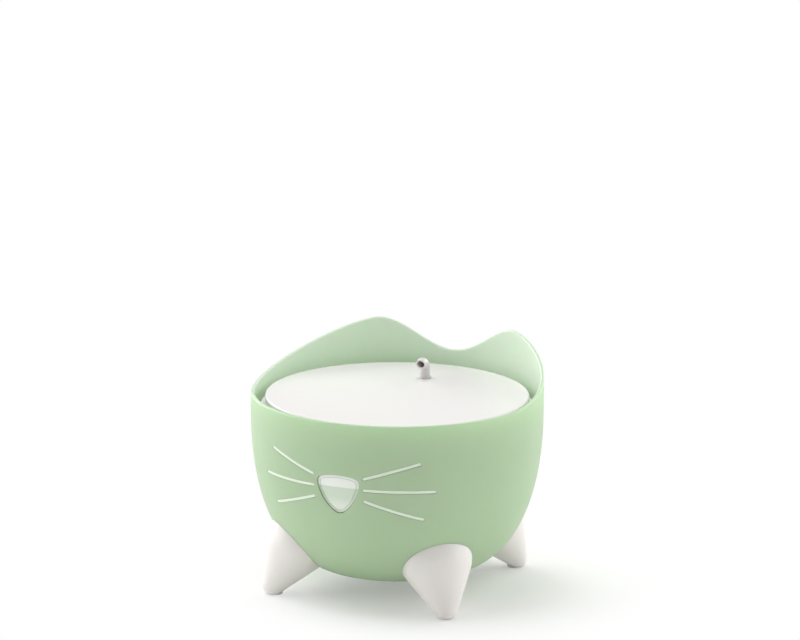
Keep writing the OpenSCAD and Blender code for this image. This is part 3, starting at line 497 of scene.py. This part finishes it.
# Inside are the column with its notch for the cable, the ribs and the rails that the pump stands on.
column = plate([(-10, 110), (-10, 85), (-9.7, 84.3), (-9, 84), (9, 84), (9.7, 84.3), (10, 85), (10, 110),
                (8.4, 110), (8.4, 85.6), (-8.4, 85.6), (-8.4, 110)], 0, 127.5)
notch = outward_plate(rounded_outline(5, 14, 2.4), -86.6, -83)
shift(notch, z=127.3)
column = combine(combine(column, notch), bowl_block(bowl_wall / 2, 127.5), "INTERSECT")
skirt_z = 123.5
rib_side = [(102.5, skirt_z - 55), (102.5, skirt_z), (91, skirt_z), (91, skirt_z - 3), (99.9, skirt_z - 55)]
ribs = bmesh.new()
for angle in (57, -57, 130, -130):
    rib = plate(rib_side, -0.8, 0.8)
    bmesh.ops.rotate(rib, matrix=Matrix.Rotation(math.radians(angle), 3, "Z") @ Matrix.Rotation(math.pi / 2, 3, "X"),
                     verts=rib.verts)
    join(ribs, rib)
pump_frame = Matrix.Translation((-6.0104, 42.9896, 28)) @ Matrix.Rotation(math.radians(45), 4, "Z")
rails = bmesh.new()
for x in (-15, 15):
    rail = plate(rounded_outline(3, 25, 0.8), -28, 0)
    place_by(rail, pump_frame @ Matrix.Translation((x, 0, 0)))
    join(rails, rail)
ribs = combine(join(ribs, rails), bowl_block(bowl_wall / 2, skirt_z), "INTERSECT")
bowl = combine(bowl, join(ribs, column), "UNION")
def painted_inner_light(tree, place, shade):
    """Paints the inside of the bowl, the column too, paler and cooler than the outside: painted light for the bright
    inner walls.
    """
    flat = add_node(tree, "VectorMath", {"operation": "MULTIPLY"}, {0: place, 1: (1, 1, 0)})
    reach = add_node(tree, "VectorMath", {"operation": "LENGTH"}, {0: flat.outputs[0]})
    height = add_node(tree, "SeparateXYZ", {}, {0: place})
    drop = add_node(tree, "MapRange", {}, {"Value": height.outputs[2], "From Min": 0.121, "From Max": 0.011})
    square = add_node(tree, "Math", {"operation": "POWER"}, {0: drop.outputs[0], 1: 2.0})
    left = add_node(tree, "Math", {"operation": "SUBTRACT", "use_clamp": True}, {0: 1.0, 1: square.outputs[0]})
    wall = add_node(tree, "Math", {"operation": "POWER"}, {0: left.outputs[0], 1: 0.25})
    wall = add_node(tree, "Math", {"operation": "MULTIPLY"}, {0: wall.outputs[0], 1: 0.1025})
    depth = add_node(tree, "Math", {"operation": "SUBTRACT"}, {0: wall.outputs[0], 1: reach.outputs["Value"]})
    inside = add_node(tree, "MapRange", {}, {"Value": depth.outputs[0], "From Min": 0.0010, "From Max": 0.0018})
    # Painted light: where the surface lies more than 1 to 1.8 mm inside the outer wall, a paler, cooler colour is mixed
    # in.
    return add_node(tree, "Mix", {"data_type": "RGBA"}, {0: inside.outputs[0], 6: shade, 7: linear("#e4efe2")})


# The inside walls of this material get painted light: a paler, cooler colour.
polypropylene = moulded("pastel green polypropylene", "#c4ddb8", "#c9e0be", 0.38, 0.9, 0.012, 0.8, 0.32, painted_inner_light,
                        **{"IOR": 1.49, "Subsurface Weight": 0.25, "Subsurface Scale": 0.006,
                           "Subsurface Radius": (0.6, 1.0, 0.5)})
bowl_piece = finish_piece("bowl_shell", bowl, polypropylene, "bowl", ("bowl",), 28)

# ---- Face
# The nose is a clear window for the water level, set 1 mm back in the wall with a moulded rim. The whiskers are
# pale inserts that lie nearly flush. Both have a flange inside the wall.
def skin(outer, inner):
    """The part of the wall between two distances from the outer surface."""
    return combine(bowl_block(outer, rim_z), bowl_block(inner, rim_z + 1))


def painted_window_light(tree, place, shade):
    """Painted light in the window: above the line at 94 mm it is painted bright, and below it a painted view into the
    bowl, a little green and lighter again towards the tip.
    """
    height = add_node(tree, "SeparateXYZ", {}, {0: place})
    above = add_node(tree, "MapRange", {"interpolation_type": "SMOOTHSTEP"},
                     {"Value": height.outputs[2], "From Min": 0.0934, "From Max": 0.0946})
    low = add_node(tree, "MapRange", {"interpolation_type": "SMOOTHSTEP"},
                   {"Value": height.outputs[2], "From Min": 0.079, "From Max": 0.088})
    # Painted view through the clear window: greener under the line, paler again towards the tip.
    deep = add_node(tree, "Mix", {"data_type": "RGBA"}, {0: low.outputs[0], 6: linear("#eef7ea"), 7: linear("#dbe8d6")})
    return add_node(tree, "Mix", {"data_type": "RGBA"}, {0: above.outputs[0], 6: deep.outputs[2], 7: shade})


window = combine(skin(1.0, bowl_wall), outward_plate(nose_outline(-0.3), 45, 110), "INTERSECT")
rim_line = combine(outward_plate(nose_outline(-1.7), 45, 110), outward_plate(nose_outline(-2.1), 44, 111))
window = combine(window, combine(skin(0.5, 1.3), rim_line, "INTERSECT"))
window = join(window, combine(skin(bowl_wall, 4), outward_plate(nose_outline(2.4), 45, 110), "INTERSECT"))
# The lens's near-white colour stands in for the bright light seen through the clear window: painted light.
lens = moulded("clear styrene-acrylonitrile", "#fbfefa", "#f7fcf5", 0.08, 0.25, 0.002, 0.5, 0.12, painted_window_light,
               **{"IOR": 1.57, "Transmission Weight": 0.05, "Coat Weight": 0.6, "Coat Roughness": 0.04})
finish_piece("nose_window_lens", window, lens, "bowl", ("nose_window",))

insert_plastic = moulded("pale translucent polypropylene", "#f1fbe9", "#ebf7e2", 0.34, 0.7, 0.01, 0.3, 0.12,
                         **{"IOR": 1.49, "Subsurface Weight": 0.2, "Subsurface Scale": 0.002})
for side, name in ((-1, "whisker_insert_left"), (1, "whisker_insert_right")):
    front, back = bmesh.new(), bmesh.new()
    for outline in whisker_outlines(side, whisker_w - 0.2):
        join(front, outward_plate(outline, 45, 110))
    for outline in whisker_outlines(side, whisker_w + 3):
        join(back, outward_plate(outline, 45, 110))
    link = [(side * 28 + x, face_z + 2 + y) for x, y in rounded_outline(5, 29, 2.4)]
    back = combine(back, outward_plate(link, 45, 110), "UNION")
    insert = join(combine(skin(0.15, bowl_wall), front, "INTERSECT"), combine(skin(bowl_wall, 4), back, "INTERSECT"))
    finish_piece(name + "_moulding", insert, insert_plastic, "bowl", (name,))

# ---- Feet
# Four white feet lean outward, round-ended and broad where they meet the bowl. Each is pushed on to a boss of the
# bowl and stands on a soft pad.
def foot_profile(tip_r=8.5, top_r=25.5, length=36, steps=20):
    slope = math.asin((top_r - tip_r) / length)
    tip = [-math.pi / 2 + (math.pi / 2 - slope) * i / steps for i in range(steps + 1)]
    top = [-slope + (math.pi / 2 + slope) * i / steps for i in range(steps + 1)]
    return ([(tip_r * math.cos(a), tip_r * math.sin(a)) for a in tip[1:]]
            + [(top_r * math.cos(a), length + top_r * math.sin(a)) for a in top[:-1]])


foot_frame = (Matrix.Translation((0, -92.5, 7.1)) @ Matrix.Rotation(math.radians(-33), 4, "X")
              @ Matrix.Diagonal((1, 0.9, 1, 1)))
abs_white = moulded("white ABS", "#e9e4e2", "#e5e0de", 0.34, 1.1, 0.008, 0.5, IOR=1.53)
elastomer = moulded("soft grey elastomer", "#c9c7c3", "#c2c0bc", 0.75, 0.6, 0.03, 0.2)
foot = revolve([(0, -8.5)] + foot_profile() + [(0, 61.5)], 72)
place_by(foot, foot_frame)
foot = combine(foot, bowl_block(0, rim_z, 192))
boss_pocket = rod(6.2, 13.5, 50, 32)
place_by(boss_pocket, foot_frame)
foot = combine(combine(foot, boss_pocket), plate([(-60, -160), (60, -160), (60, 0), (-60, 0)], -20, 0.6))
pad_recess = rod(4.3, 0, 2.2, 40)
bmesh.ops.translate(pad_recess, vec=(0, -90, 0), verts=pad_recess.verts)
foot = combine(foot, pad_recess)
for angle, name in ((-45, "foot_front_left"), (45, "foot_front_right"), (135, "foot_rear_right"),
                    (-135, "foot_rear_left")):
    turn = Matrix.Rotation(math.radians(angle), 4, "Z")
    one = foot.copy()
    place_by(one, turn)
    finish_piece(name + "_moulding", one, abs_white, "bowl", (name,))
foot.free()
pads = bmesh.new()
for angle in (-45, 45, 135, -135):
    pad = revolve([(0, 0), (3.7, 0), (4.05, 0.15), (4.2, 0.5), (4.2, 2.0), (0, 2.0)], 40)
    bmesh.ops.translate(pad, vec=(0, -90, 0), verts=pad.verts)
    turn_by(pad, angle, "Z")
    join(pads, pad)
finish_piece("foot_pads_soft", pads, elastomer, "bowl", ("foot_pads",))

# ---- Filter tray
# A round white tray with a turned-down skirt. In front is a sunken dish with a square pocket for the filter, behind
# it the seat for the cap with the down pipe, and at the back two lifting holes.
outlet_y, filter_y = 49, -43


def disc(y, r, low, high, steps=96, x=0):
    """A round bar that stands at a place on the tray."""
    bm = rod(r, low, high, steps)
    shift(bm, x=x, y=y)
    return bm


def dish(grow):
    """The dish as a solid, its wall grown outward, cut short where it nears the edge of the tray."""
    bm = revolve([(0, 121.5 - grow), (50 + grow, 121.5 - grow), (72 + grow, 129.5), (72 + grow, 129.5 + 5 - grow * 2.5),
                  (0, 129.5 + 5 - grow * 2.5)], 128)
    bmesh.ops.translate(bm, vec=(0, -29, 0), verts=bm.verts)
    return combine(bm, disc(0, 91 + grow, 100, 140, 128), "INTERSECT")


def pocket(grow, low, high):
    outline = [(x, y + filter_y) for x, y in rounded_outline(82 + 2 * grow, 82 + 2 * grow, 10 + grow, 8)]
    return plate(outline, low, high)


tray = revolve([(0, 127.5), (93.5, 127.5), (93.5, 123.9), (93.9, 123.5), (95.1, 123.5), (95.5, 123.9), (95.5, 128.9),
                (95.32, 129.32), (94.9, 129.5), (0, 129.5)], 160)
for part in (dish(2), pocket(2, 107.5, 128.5), disc(-2, 9.5, 107.5, 128.5, 48), disc(outlet_y, 18.9, 121, 129.5, 64),
             disc(outlet_y, 3.9, 95, 121.5, 48)):
    tray = combine(tray, part, "UNION")
hollow = combine(dish(0), disc(outlet_y, 18.9, 110, 140, 64))
tray = combine(tray, hollow)
for part in (pocket(0, 109.5, 130.5), disc(-2, 7.5, 109.5, 130.5, 48), disc(filter_y, 22, 105, 115, 64),
             disc(outlet_y, 16.9, 123, 130, 64), disc(outlet_y, 2.7, 90, 130, 32),
             disc(40.56, 9.75, 120, 135, 48, 55.82), disc(40.56, 9.75, 120, 135, 48, -55.82),
             plate([(-10.8, 83.2), (10.8, 83.2), (10.8, 120), (-10.8, 120)], 120, 127.5)):
    tray = combine(tray, part)
tray_plastic = moulded("white polypropylene", "#e9e7e5", "#e5e2e1", 0.36, 1.0, 0.01, 0.7, IOR=1.5)
finish_piece("filter_tray_moulding", tray, tray_plastic, "tray", ("filter_tray",))

# ---- Connector cap and strap
# A round cap joins the down pipe to the spout. It has a dark socket in its top and a finger recess in front. An open
# ring of round strap with a ribbed end stands on a pin at its side.
cap_side = [(13.5 + 3 * math.cos(a), 131.3 + 3 * math.sin(a)) for a in (math.pi * i / 16 for i in range(9))]
cap = revolve([(0, 123), (16.1, 123), (16.5, 123.4)] + cap_side + [(0, 134.3)], 96)
for part in (disc(0, 4.5, 128.5, 136, 40), disc(0, 2.7, 120, 136, 32)):
    cap = combine(cap, part)
recess = outward_plate(rounded_outline(15, 3.6, 0.8), 13, 20)
shift(recess, z=131.6)
cap = combine(cap, recess)
shift(cap, y=outlet_y)
pivot = Matrix.Translation((0, outlet_y, 131.8)) @ Matrix.Rotation(math.radians(-4), 4, "Z")
pin_hole = rod(1.3, 13.5, 30, 24)
place_by(pin_hole, pivot @ Matrix.Rotation(math.pi / 2, 4, "Y"))
cap = combine(cap, pin_hole)
finish_piece("connector_cap_moulding", cap, tray_plastic, "cap", ("connector_cap",))

ring_r, ring_x, ring_y = 9.3, 27.8, 3.5
arc = [math.radians(190 + 288 * i / 60) for i in range(61)]
strap = tube_along([Vector((ring_x + ring_r * math.cos(a), ring_y + ring_r * math.sin(a), 0)) for a in arc], 1.7, 20)
tip = revolve([(0, -0.2), (1.6, -0.2), (1.6, 0.35), (2.0, 0.6), (2.1, 0.9), (2.0, 1.15), (1.65, 1.4), (1.65, 1.6),
               (2.0, 1.8), (2.1, 2.1), (2.0, 2.35), (1.65, 2.6), (1.65, 2.8), (2.0, 3.0), (2.1, 3.3), (1.9, 3.7),
               (1.2, 4.2), (0, 4.4)], 24)
end = math.radians(478)
place_by(tip, Matrix.Translation((ring_x + ring_r * math.cos(end), ring_y + ring_r * math.sin(end), 0))
         @ Matrix.Rotation(end, 4, "Z") @ Matrix.Rotation(-math.pi / 2, 4, "X"))
pin = revolve([(0, 13.6), (1.0, 13.6), (1.2, 13.8), (1.2, 19.2), (0, 19.2)], 24)
turn_by(pin, 90, "Y")
strap = combine(combine(strap, tip, "UNION"), pin, "UNION")
place_by(strap, pivot)
finish_piece("cap_strap_moulding", strap, tray_plastic, "strap", ("cap_strap",), 50)

# ---- Filter
# A square cartridge: a thin sheet of mesh with a hole in its middle, and four pockets of granules below it. Those
# on the left hold grey carbon, those on the right peach ion-exchange resin. It sits loose in the tray's pocket.
def granules(name, shades, size, film):
    """Packed granules under a thin film: cells of several shades, each a low dome, with a soft gloss over them."""
    material, tree, place = new_material(name)
    bend = add_node(tree, "TexNoise", {}, {"Vector": place, "Scale": 400.0, "Detail": 1.0})
    moved = add_node(tree, "MixRGB", {}, {"Fac": 0.0012, "Color1": place, "Color2": bend.outputs["Color"]})
    cells = add_node(tree, "TexVoronoi", {}, {"Vector": moved.outputs[0], "Scale": 1000 / size})
    mean = add_node(tree, "RGBToBW", {}, {0: cells.outputs["Color"]})
    ramp = add_node(tree, "ValToRGB", {}, {0: mean.outputs[0]})
    ramp.color_ramp.elements[0].color, ramp.color_ramp.elements[1].color = linear(shades[0]), linear(shades[-1])
    for k, shade in enumerate(shades[1:-1]):
        ramp.color_ramp.elements.new((k + 1) / (len(shades) - 1)).color = linear(shade)
    clumps = add_node(tree, "TexNoise", {}, {"Vector": place, "Scale": 110.0, "Detail": 2.0})
    veil = add_node(tree, "MapRange", {}, {"Value": clumps.outputs[0], "From Min": 0.35, "From Max": 0.7,
                                           "To Min": 0.15, "To Max": 0.6})
    seen = add_node(tree, "Mix", {"data_type": "RGBA"}, {0: veil.outputs[0], 6: ramp.outputs[0], 7: linear(film)})
    relief = add_node(tree, "Bump", {"invert": True}, {"Height": cells.outputs["Distance"], "Strength": 0.35,
                                                       "Distance": size / 4000})
    face = add_node(tree, "BsdfPrincipled", {}, {
        "Base Color": seen.outputs[2], "Roughness": 0.55, "Normal": relief.outputs[0], "Coat Weight": 0.25,
        "Coat Roughness": 0.3, "Subsurface Weight": 0.2, "Subsurface Scale": 0.002})
    add_node(tree, "OutputMaterial", {}, {"Surface": face.outputs[0]})
    return material


def pad_outline(steps=6):
    """The plan of one granule pocket, right rear of the middle, with a hollow corner round the hole."""
    side, near, corner, hole = 37.0, 0.8, 6.0, 9.5
    outline = []
    for cx, cy, start in ((near + side - corner, near + corner, -90), (near + side - corner, near + side - corner, 0),
                          (near + corner, near + side - corner, 90)):
        outline += [(cx + corner * math.cos(math.radians(start + 90 * k / steps)),
                     cy + corner * math.sin(math.radians(start + 90 * k / steps))) for k in range(steps + 1)]
    edge = math.acos(near / hole)
    outline += [(hole * math.cos(a), hole * math.sin(a))
                for a in (edge - (2 * edge - math.pi / 2) * k / 8 for k in range(9))]
    return outline


def loft(rings):
    """A closed skin through rings of points that all have the same count, from the first to the last."""
    bm = bmesh.new()
    loops = [[bm.verts.new(p) for p in ring] for ring in rings]
    count = len(rings[0])
    for lower, upper in zip(loops, loops[1:]):
        for k in range(count):
            bm.faces.new((lower[k], lower[(k + 1) % count], upper[(k + 1) % count], upper[k]))
    bm.faces.new(loops[0])
    bm.faces.new(loops[-1])
    bmesh.ops.recalc_face_normals(bm, faces=bm.faces)
    return bm


carbon = granules("activated carbon under film", ("#525453", "#7b7d7c", "#a2a3a1", "#bdbebc"), 1.3, "#8f908f")
resin = granules("ion-exchange resin under film", ("#cfa488", "#e3bfa5", "#edd2be", "#f3e2d5"), 0.9, "#dcb79c")
grains = random.Random(4)
pad_middle = 20.1
for sx, sy, name, media, slot in ((-1, -1, "filter_pad_front_left", carbon, "carbon"),
                                  (-1, 1, "filter_pad_rear_left", carbon, "carbon"),
                                  (1, -1, "filter_pad_front_right", resin, "resin"),
                                  (1, 1, "filter_pad_rear_right", resin, "resin")):
    outline = pad_outline()
    rings = []
    # The pocket narrows a little downward, turns in with a soft edge, and sags under its granules.
    for z, share in ((6.45, 1.0), (5.2, 0.993), (3.6, 0.982), (2.2, 0.968), (1.4, 0.945), (0.8, 0.91), (0.4, 0.86),
                     (0.2, 0.78), (0.1, 0.62), (0.04, 0.42), (0.0, 0.2)):
        rings.append([(sx * (pad_middle + (x - pad_middle) * share),
                       sy * (pad_middle + (y - pad_middle) * share) + filter_y, 109.8 + z) for x, y in outline])
    pad = loft(rings)
    bmesh.ops.subdivide_edges(pad, edges=[e for e in pad.edges if e.calc_length() > 2.5], cuts=2, use_grid_fill=True)
    for v in pad.verts:
        if v.co.z < 116.0:
            bump = noise.noise(v.co * 0.35) * 0.22 + noise.noise(v.co * 0.9) * 0.1
            v.co.x += bump * 0.6
            v.co.y += bump * 0.6
            v.co.z += max(bump, 0)
    piece = finish_piece(name + "_pocket", pad, media, "filter", (name,), 80)

# The sheet runs in rings from its hole to its rounded outline. It lies a little higher over each pocket, and is
# pressed flat along the welds between them. The hole's edge is cut rough, with a few loose fibres.
def sheet_point(angle, share, hole_r):
    dx, dy = math.cos(angle), math.sin(angle)
    half, corner = 40.0, 9.0
    reach = half / max(abs(dx), abs(dy))
    if min(abs(dx), abs(dy)) * reach > half - corner:
        c = half - corner
        along = c * (abs(dx) + abs(dy))
        reach = along + math.sqrt(along * along - 2 * c * c + corner * corner)
    r = hole_r + (reach - hole_r) * share
    return r * dx, r * dy


def sheet_height(x, y):
    """How far the sheet bulges over the pocket below the point."""
    u, v = (abs(x) - pad_middle) / 18.5, (abs(y) - pad_middle) / 18.5
    if max(abs(u), abs(v)) >= 1 or math.hypot(x, y) < 9.5:
        return 0.0
    inner = min((math.hypot(x, y) - 9.5) / 4, 1)
    return 0.42 * ((1 - u ** 4) * (1 - v ** 4)) ** 0.5 * inner + 0.05 * noise.noise(Vector((x, y, 0)) * 0.4)


turns, steps = 240, 30
hole_edge = [7.5 + grains.uniform(-0.12, 0.2) for k in range(turns)]
layers = []
for low in (False, True):
    for i in range(steps + 1):
        share = (i / steps) if not low else (1 - i / steps)
        ring = []
        for k in range(turns):
            x, y = sheet_point(2 * math.pi * k / turns, share, hole_edge[k])
            z = 116.75 + sheet_height(x, y) - (0.45 if low else 0) + (0.15 if 0 < share < 1 and not low else 0)
            ring.append((x, y + filter_y, z))
        layers.append(ring)
sheet = bmesh.new()
loops = [[sheet.verts.new(p) for p in ring] for ring in layers]
for lower, upper in zip(loops, loops[1:] + loops[:1]):
    for k in range(turns):
        sheet.faces.new((lower[k], lower[(k + 1) % turns], upper[(k + 1) % turns], upper[k]))
bmesh.ops.recalc_face_normals(sheet, faces=sheet.faces)
mesh_cloth, tree, place = new_material("polyester filter mesh")
axes = add_node(tree, "SeparateXYZ", {}, {0: place})
warp = add_node(tree, "TexWave", {"bands_direction": "X"}, {"Vector": place, "Scale": 314.0 / 1.1, "Distortion": 0.6})
weft = add_node(tree, "TexWave", {"bands_direction": "Y"}, {"Vector": place, "Scale": 314.0 / 1.1, "Distortion": 0.6})
weave = add_node(tree, "Math", {"operation": "MAXIMUM"}, {0: warp.outputs["Fac"], 1: weft.outputs["Fac"]})
blotch = add_node(tree, "TexNoise", {}, {"Vector": place, "Scale": 70.0, "Detail": 3.0})
side = add_node(tree, "MapRange", {"interpolation_type": "SMOOTHSTEP"},
                {"Value": axes.outputs[0], "From Min": -0.002, "From Max": 0.003})
through = add_node(tree, "Mix", {"data_type": "RGBA"}, {0: side.outputs[0], 6: linear("#a3a6a4"), 7: linear("#ecc6aa")})
cover = add_node(tree, "MapRange", {}, {"Value": blotch.outputs[0], "From Min": 0.38, "From Max": 0.6,
                                        "To Min": 0.35, "To Max": 0.97})
thread = add_node(tree, "Mix", {"data_type": "RGBA"}, {0: cover.outputs[0], 6: through.outputs[2],
                                                      7: linear("#f0f2ef")})
open_part = add_node(tree, "MapRange", {}, {"Value": weave.outputs[0], "From Min": 0.2, "From Max": 0.8,
                                            "To Min": 0.35, "To Max": 0.0})
cloth = add_node(tree, "Mix", {"data_type": "RGBA"}, {0: open_part.outputs[0], 6: thread.outputs[2],
                                                     7: through.outputs[2]})
relief = add_node(tree, "Bump", {}, {"Height": weave.outputs[0], "Strength": 0.5, "Distance": 0.00012})
face = add_node(tree, "BsdfPrincipled", {}, {"Base Color": cloth.outputs[2], "Roughness": 0.6,
                                             "Normal": relief.outputs[0], "Sheen Weight": 0.2,
                                             "Subsurface Weight": 0.3, "Subsurface Scale": 0.002})
add_node(tree, "OutputMaterial", {}, {"Surface": face.outputs[0]})
fibres = bmesh.new()
for k in range(26):
    a = grains.uniform(0, 2 * math.pi)
    start = Vector((7.6 * math.cos(a), 7.6 * math.sin(a) + filter_y, 116.6))
    inward = Vector((-math.cos(a + grains.uniform(-0.7, 0.7)), -math.sin(a + grains.uniform(-0.7, 0.7)), 0))
    length = grains.uniform(0.5, 1.5)
    path = [start + inward * length * t + Vector((0, 0, -0.25 * t * t)) for t in (0, 0.35, 0.7, 1)]
    join(fibres, tube_along(path, 0.06, 5))
cloth_piece = finish_piece("filter_sheet", sheet, mesh_cloth, "filter", ("filter_fleece",), 80)
fibre_piece = finish_piece("filter_sheet_fibres", fibres, mesh_cloth, "filter", (), 80)

# ---- Lid
# A shallow white lid, flat on top with a rounded edge. Its skirt is open in front, where the water runs back down.
lid = revolve([(0, 134.5), (89.9, 134.5), (90.5, 133.9), (90.5, 129.8), (90.8, 129.5), (92.2, 129.5), (92.5, 129.8),
               (92.5, 135.1), (92.3, 135.8), (91.8, 136.3), (91.1, 136.5), (0, 136.5)], 160)
wedge = 2 * 92.5 * math.sin(math.radians(26)), -2 * 92.5 * math.cos(math.radians(26))
lid = combine(lid, plate([(0, 0), (-wedge[0], wedge[1]), (wedge[0], wedge[1])], 128.5, 134.5))
lid = combine(lid, disc(outlet_y, 4.6, 128, 140, 48))
lid_plastic = moulded("glossy white ABS", "#e5e3e1", "#e2e0de", 0.26, 0.9, 0.004, 0.6, IOR=1.53)
finish_piece("lid_moulding", lid, lid_plastic, "lid", ("lid",))

# ---- Spout
# A swan-necked spout: a short plug that sits in the lid, and a bent tube whose mouth points down to the front.
spout = revolve([(0, 128.5), (4.1, 128.5), (4.4, 128.8), (4.4, 137.5), (4.25, 137.85), (3.9, 138), (0, 138)], 40)
neck = [Vector((0, 0, 130)), Vector((0, 0, 142.8))]
bend = [Vector((0, -5.5 + 5.5 * math.cos(a), 142.8 + 5.5 * math.sin(a)))
        for a in (math.radians(112) * i / 24 for i in range(1, 25))]
spout = combine(spout, tube_along(neck + bend, 3.8, 32), "UNION")
beyond = bend + [bend[-1] + (bend[-1] - bend[-2]) * 4]
spout = combine(spout, tube_along([Vector((0, 0, 120)), Vector((0, 0, 142.8))] + beyond, 2.7, 24))
shift(spout, y=outlet_y)
swan_white = moulded("satin white ABS of the spout", "#d9d6d4", "#d5d2d0", 0.3, 1.0, 0.003, IOR=1.53)
finish_piece("spout_moulding", spout, swan_white, "spout", ("spout",))

# ---- Hose
# A short piece of clear silicone hose, pushed over the pump's outlet and the tray's down pipe.
hose = revolve([(4.0, 60.3), (4.0, 99.7), (4.3, 100), (5.2, 100), (5.5, 99.7), (5.5, 60.3), (5.2, 60), (4.3, 60)],
               48, True)
shift(hose, y=outlet_y)
clear_silicone = moulded("clear silicone rubber", "#fffbfb", "#fdf8f8", 0.22, 0.8, 0.01, 0.0, 0.15,
                         **{"IOR": 1.41, "Transmission Weight": 0.03})
finish_piece("hose_tube", hose, clear_silicone, "hose", ("hose",))

# ---- Pump
# A small white pump, drawn with its long side along X, its cable and lamp at -X and its outlet on top. The housing,
# the base plate and the inlet cover meet in fine seams.
def pump_box(x0, x1, z0, z1, y=50):
    return plate([(x0, -y), (x1, -y), (x1, y), (x0, y)], z0, z1)


def along_x(bm, z=13):
    place_by(bm, Matrix.Translation((0, 0, z)) @ Matrix.Rotation(math.pi / 2, 4, "Y"))
    return bm


def left_end(bm, x, z):
    """Turns a shape drawn up from the origin to look out of the pump's left end."""
    return place_by(bm, Matrix.Translation((x, 0, z)) @ Matrix.Rotation(-math.pi / 2, 4, "Y"))


def pump_body():
    return plate(rounded_outline(43, 29, 2.2, 6), 0, 26, 2.0, 4)


def place_pump(name, bm, material, nodes, body="pump"):
    place_by(bm, pump_frame)
    return finish_piece(name, bm, material, body, nodes)


housing = combine(pump_body(), pump_box(-30, 18.5, 1.8, 30), "INTERSECT")
outlet = revolve([(0, 24), (3.9, 24), (3.9, 42.6), (3.6, 43), (0, 43)], 40)
shift(outlet, x=8.5)
housing = combine(housing, outlet, "UNION")
stator_room = combine(pump_box(-19.5, 1.5, 0, 24, 12.5), along_x(rod(6.8, -10.2, 3.5, 40)))
channel = rod(2.7, 13, 50, 32)
shift(channel, x=8.5)
for part in (stator_room, along_x(rod(5.6, -9, 4.5, 40)), along_x(rod(10.2, 3.5, 43, 56)), channel,
             along_x(rod(1.7, -23, -19, 24), 15.6), along_x(rod(1.5, -23, -20.5, 24), 5.4)):
    housing = combine(housing, part)
pump_white = moulded("satin white ABS", "#ede3ea", "#e9dfe6", 0.3, 1.0, 0.008, 0.4, IOR=1.53)
place_pump("pump_housing_moulding", housing, pump_white, ("pump_housing",))
base = combine(pump_body(), pump_box(-30, 18.5, -1, 1.75), "INTERSECT")
place_pump("pump_base_moulding", base, pump_white, ("pump_base_plate",))

cover = combine(pump_body(), pump_box(18.55, 30, -1, 30), "INTERSECT")
for part in (revolve([(9.0, 14.5), (10.1, 14.5), (10.1, 19.5), (9.0, 19.5)], 56, True),
             revolve([(3.05, 14.5), (4.4, 14.5), (4.4, 19.5), (3.05, 19.5)], 32, True)):
    cover = combine(cover, along_x(part), "UNION")
for k in range(-2, 3):
    for side in (-1, 1):
        slot = plate([(x, side * 6.9 + y) for x, y in rounded_outline(13, 4.6, 0.1, 2)], 13 + 3.6 * k - 0.9,
                     13 + 3.6 * k + 0.9)
        shift(slot, x=20)
        cover = combine(cover, slot)
place_pump("inlet_cover_moulding", cover, pump_white, ("inlet_cover",))

gland = revolve([(1.65, 0), (4.0, 0), (4.2, 0.25), (4.2, 1.9), (4.0, 2.2), (3.7, 2.4), (3.05, 4.7), (2.8, 5),
                 (1.65, 5)], 32, True)
left_end(gland, -21.5, 15.6)
grommet = moulded("white PVC grommet", "#ecebe9", "#e7e6e4", 0.5, 0.6, 0.015, 0.3)
place_pump("cable_gland_strain_relief", gland, grommet, ("cable_gland",))
bezel = revolve([(1.5, 0), (2.8, 0), (2.8, 0.9), (2.5, 1.2), (1.7, 1.2), (1.5, 1.0)], 32, True)
left_end(bezel, -21.5, 5.4)
place_pump("lamp_holder_moulding", bezel, pump_white, ("lamp_holder",))
red_glass = moulded("red polycarbonate", "#e0352b", "#d62c24", 0.12, 0.3, 0.003,
                    **{"IOR": 1.58, "Transmission Weight": 0.25})
dome = revolve([(0, 0), (1.45, 0), (1.45, 1.6)] + [(1.45 * math.cos(a), 1.6 + 1.45 * math.sin(a)) for a in
                                                  (math.radians(15 * i) for i in range(1, 6))] + [(0, 3.05)], 32)
left_end(dome, -20.5, 5.4)
place_pump("lamp_lens_dome", dome, red_glass, ("lamp_lens",))

# ---- Inside the pump
# The motor's parts keep their CAD shapes and get their own materials: laminated steel, enamelled copper, ferrite,
# a ground steel shaft, moulded impeller and rubber bushes.
def dress(node, material):
    """Gives a CAD node a material."""
    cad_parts[node].material_slots[0].material = material


core_steel = moulded("laminated electrical steel", "#8f9296", "#7f8286", 0.42, 0.5, 0.03, Metallic=1.0)
dress("stator_core", core_steel)
enamelled = moulded("enamelled copper wire", "#b06a3c", "#9c5a30", 0.3, 0.35, 0.06, Metallic=0.9)
dress("stator_winding", enamelled)
dress("rotor_magnet", moulded("ferrite magnet", "#3f3f43", "#48484c", 0.6, 0.4, 0.02))
dress("rotor_shaft", moulded("ground stainless steel", "#c4c7ca", "#b9bcc0", 0.2, 0.3, 0.002, Metallic=1.0))
dress("impeller", moulded("white acetal", "#ecebe8", "#e6e5e2", 0.4, 0.8, 0.008, 0.2))
bush_rubber = moulded("black EPDM rubber", "#35383a", "#3c3f41", 0.8, 0.5, 0.02, 0.2)
dress("shaft_bush_rear", bush_rubber)
dress("shaft_bush_front", bush_rubber)
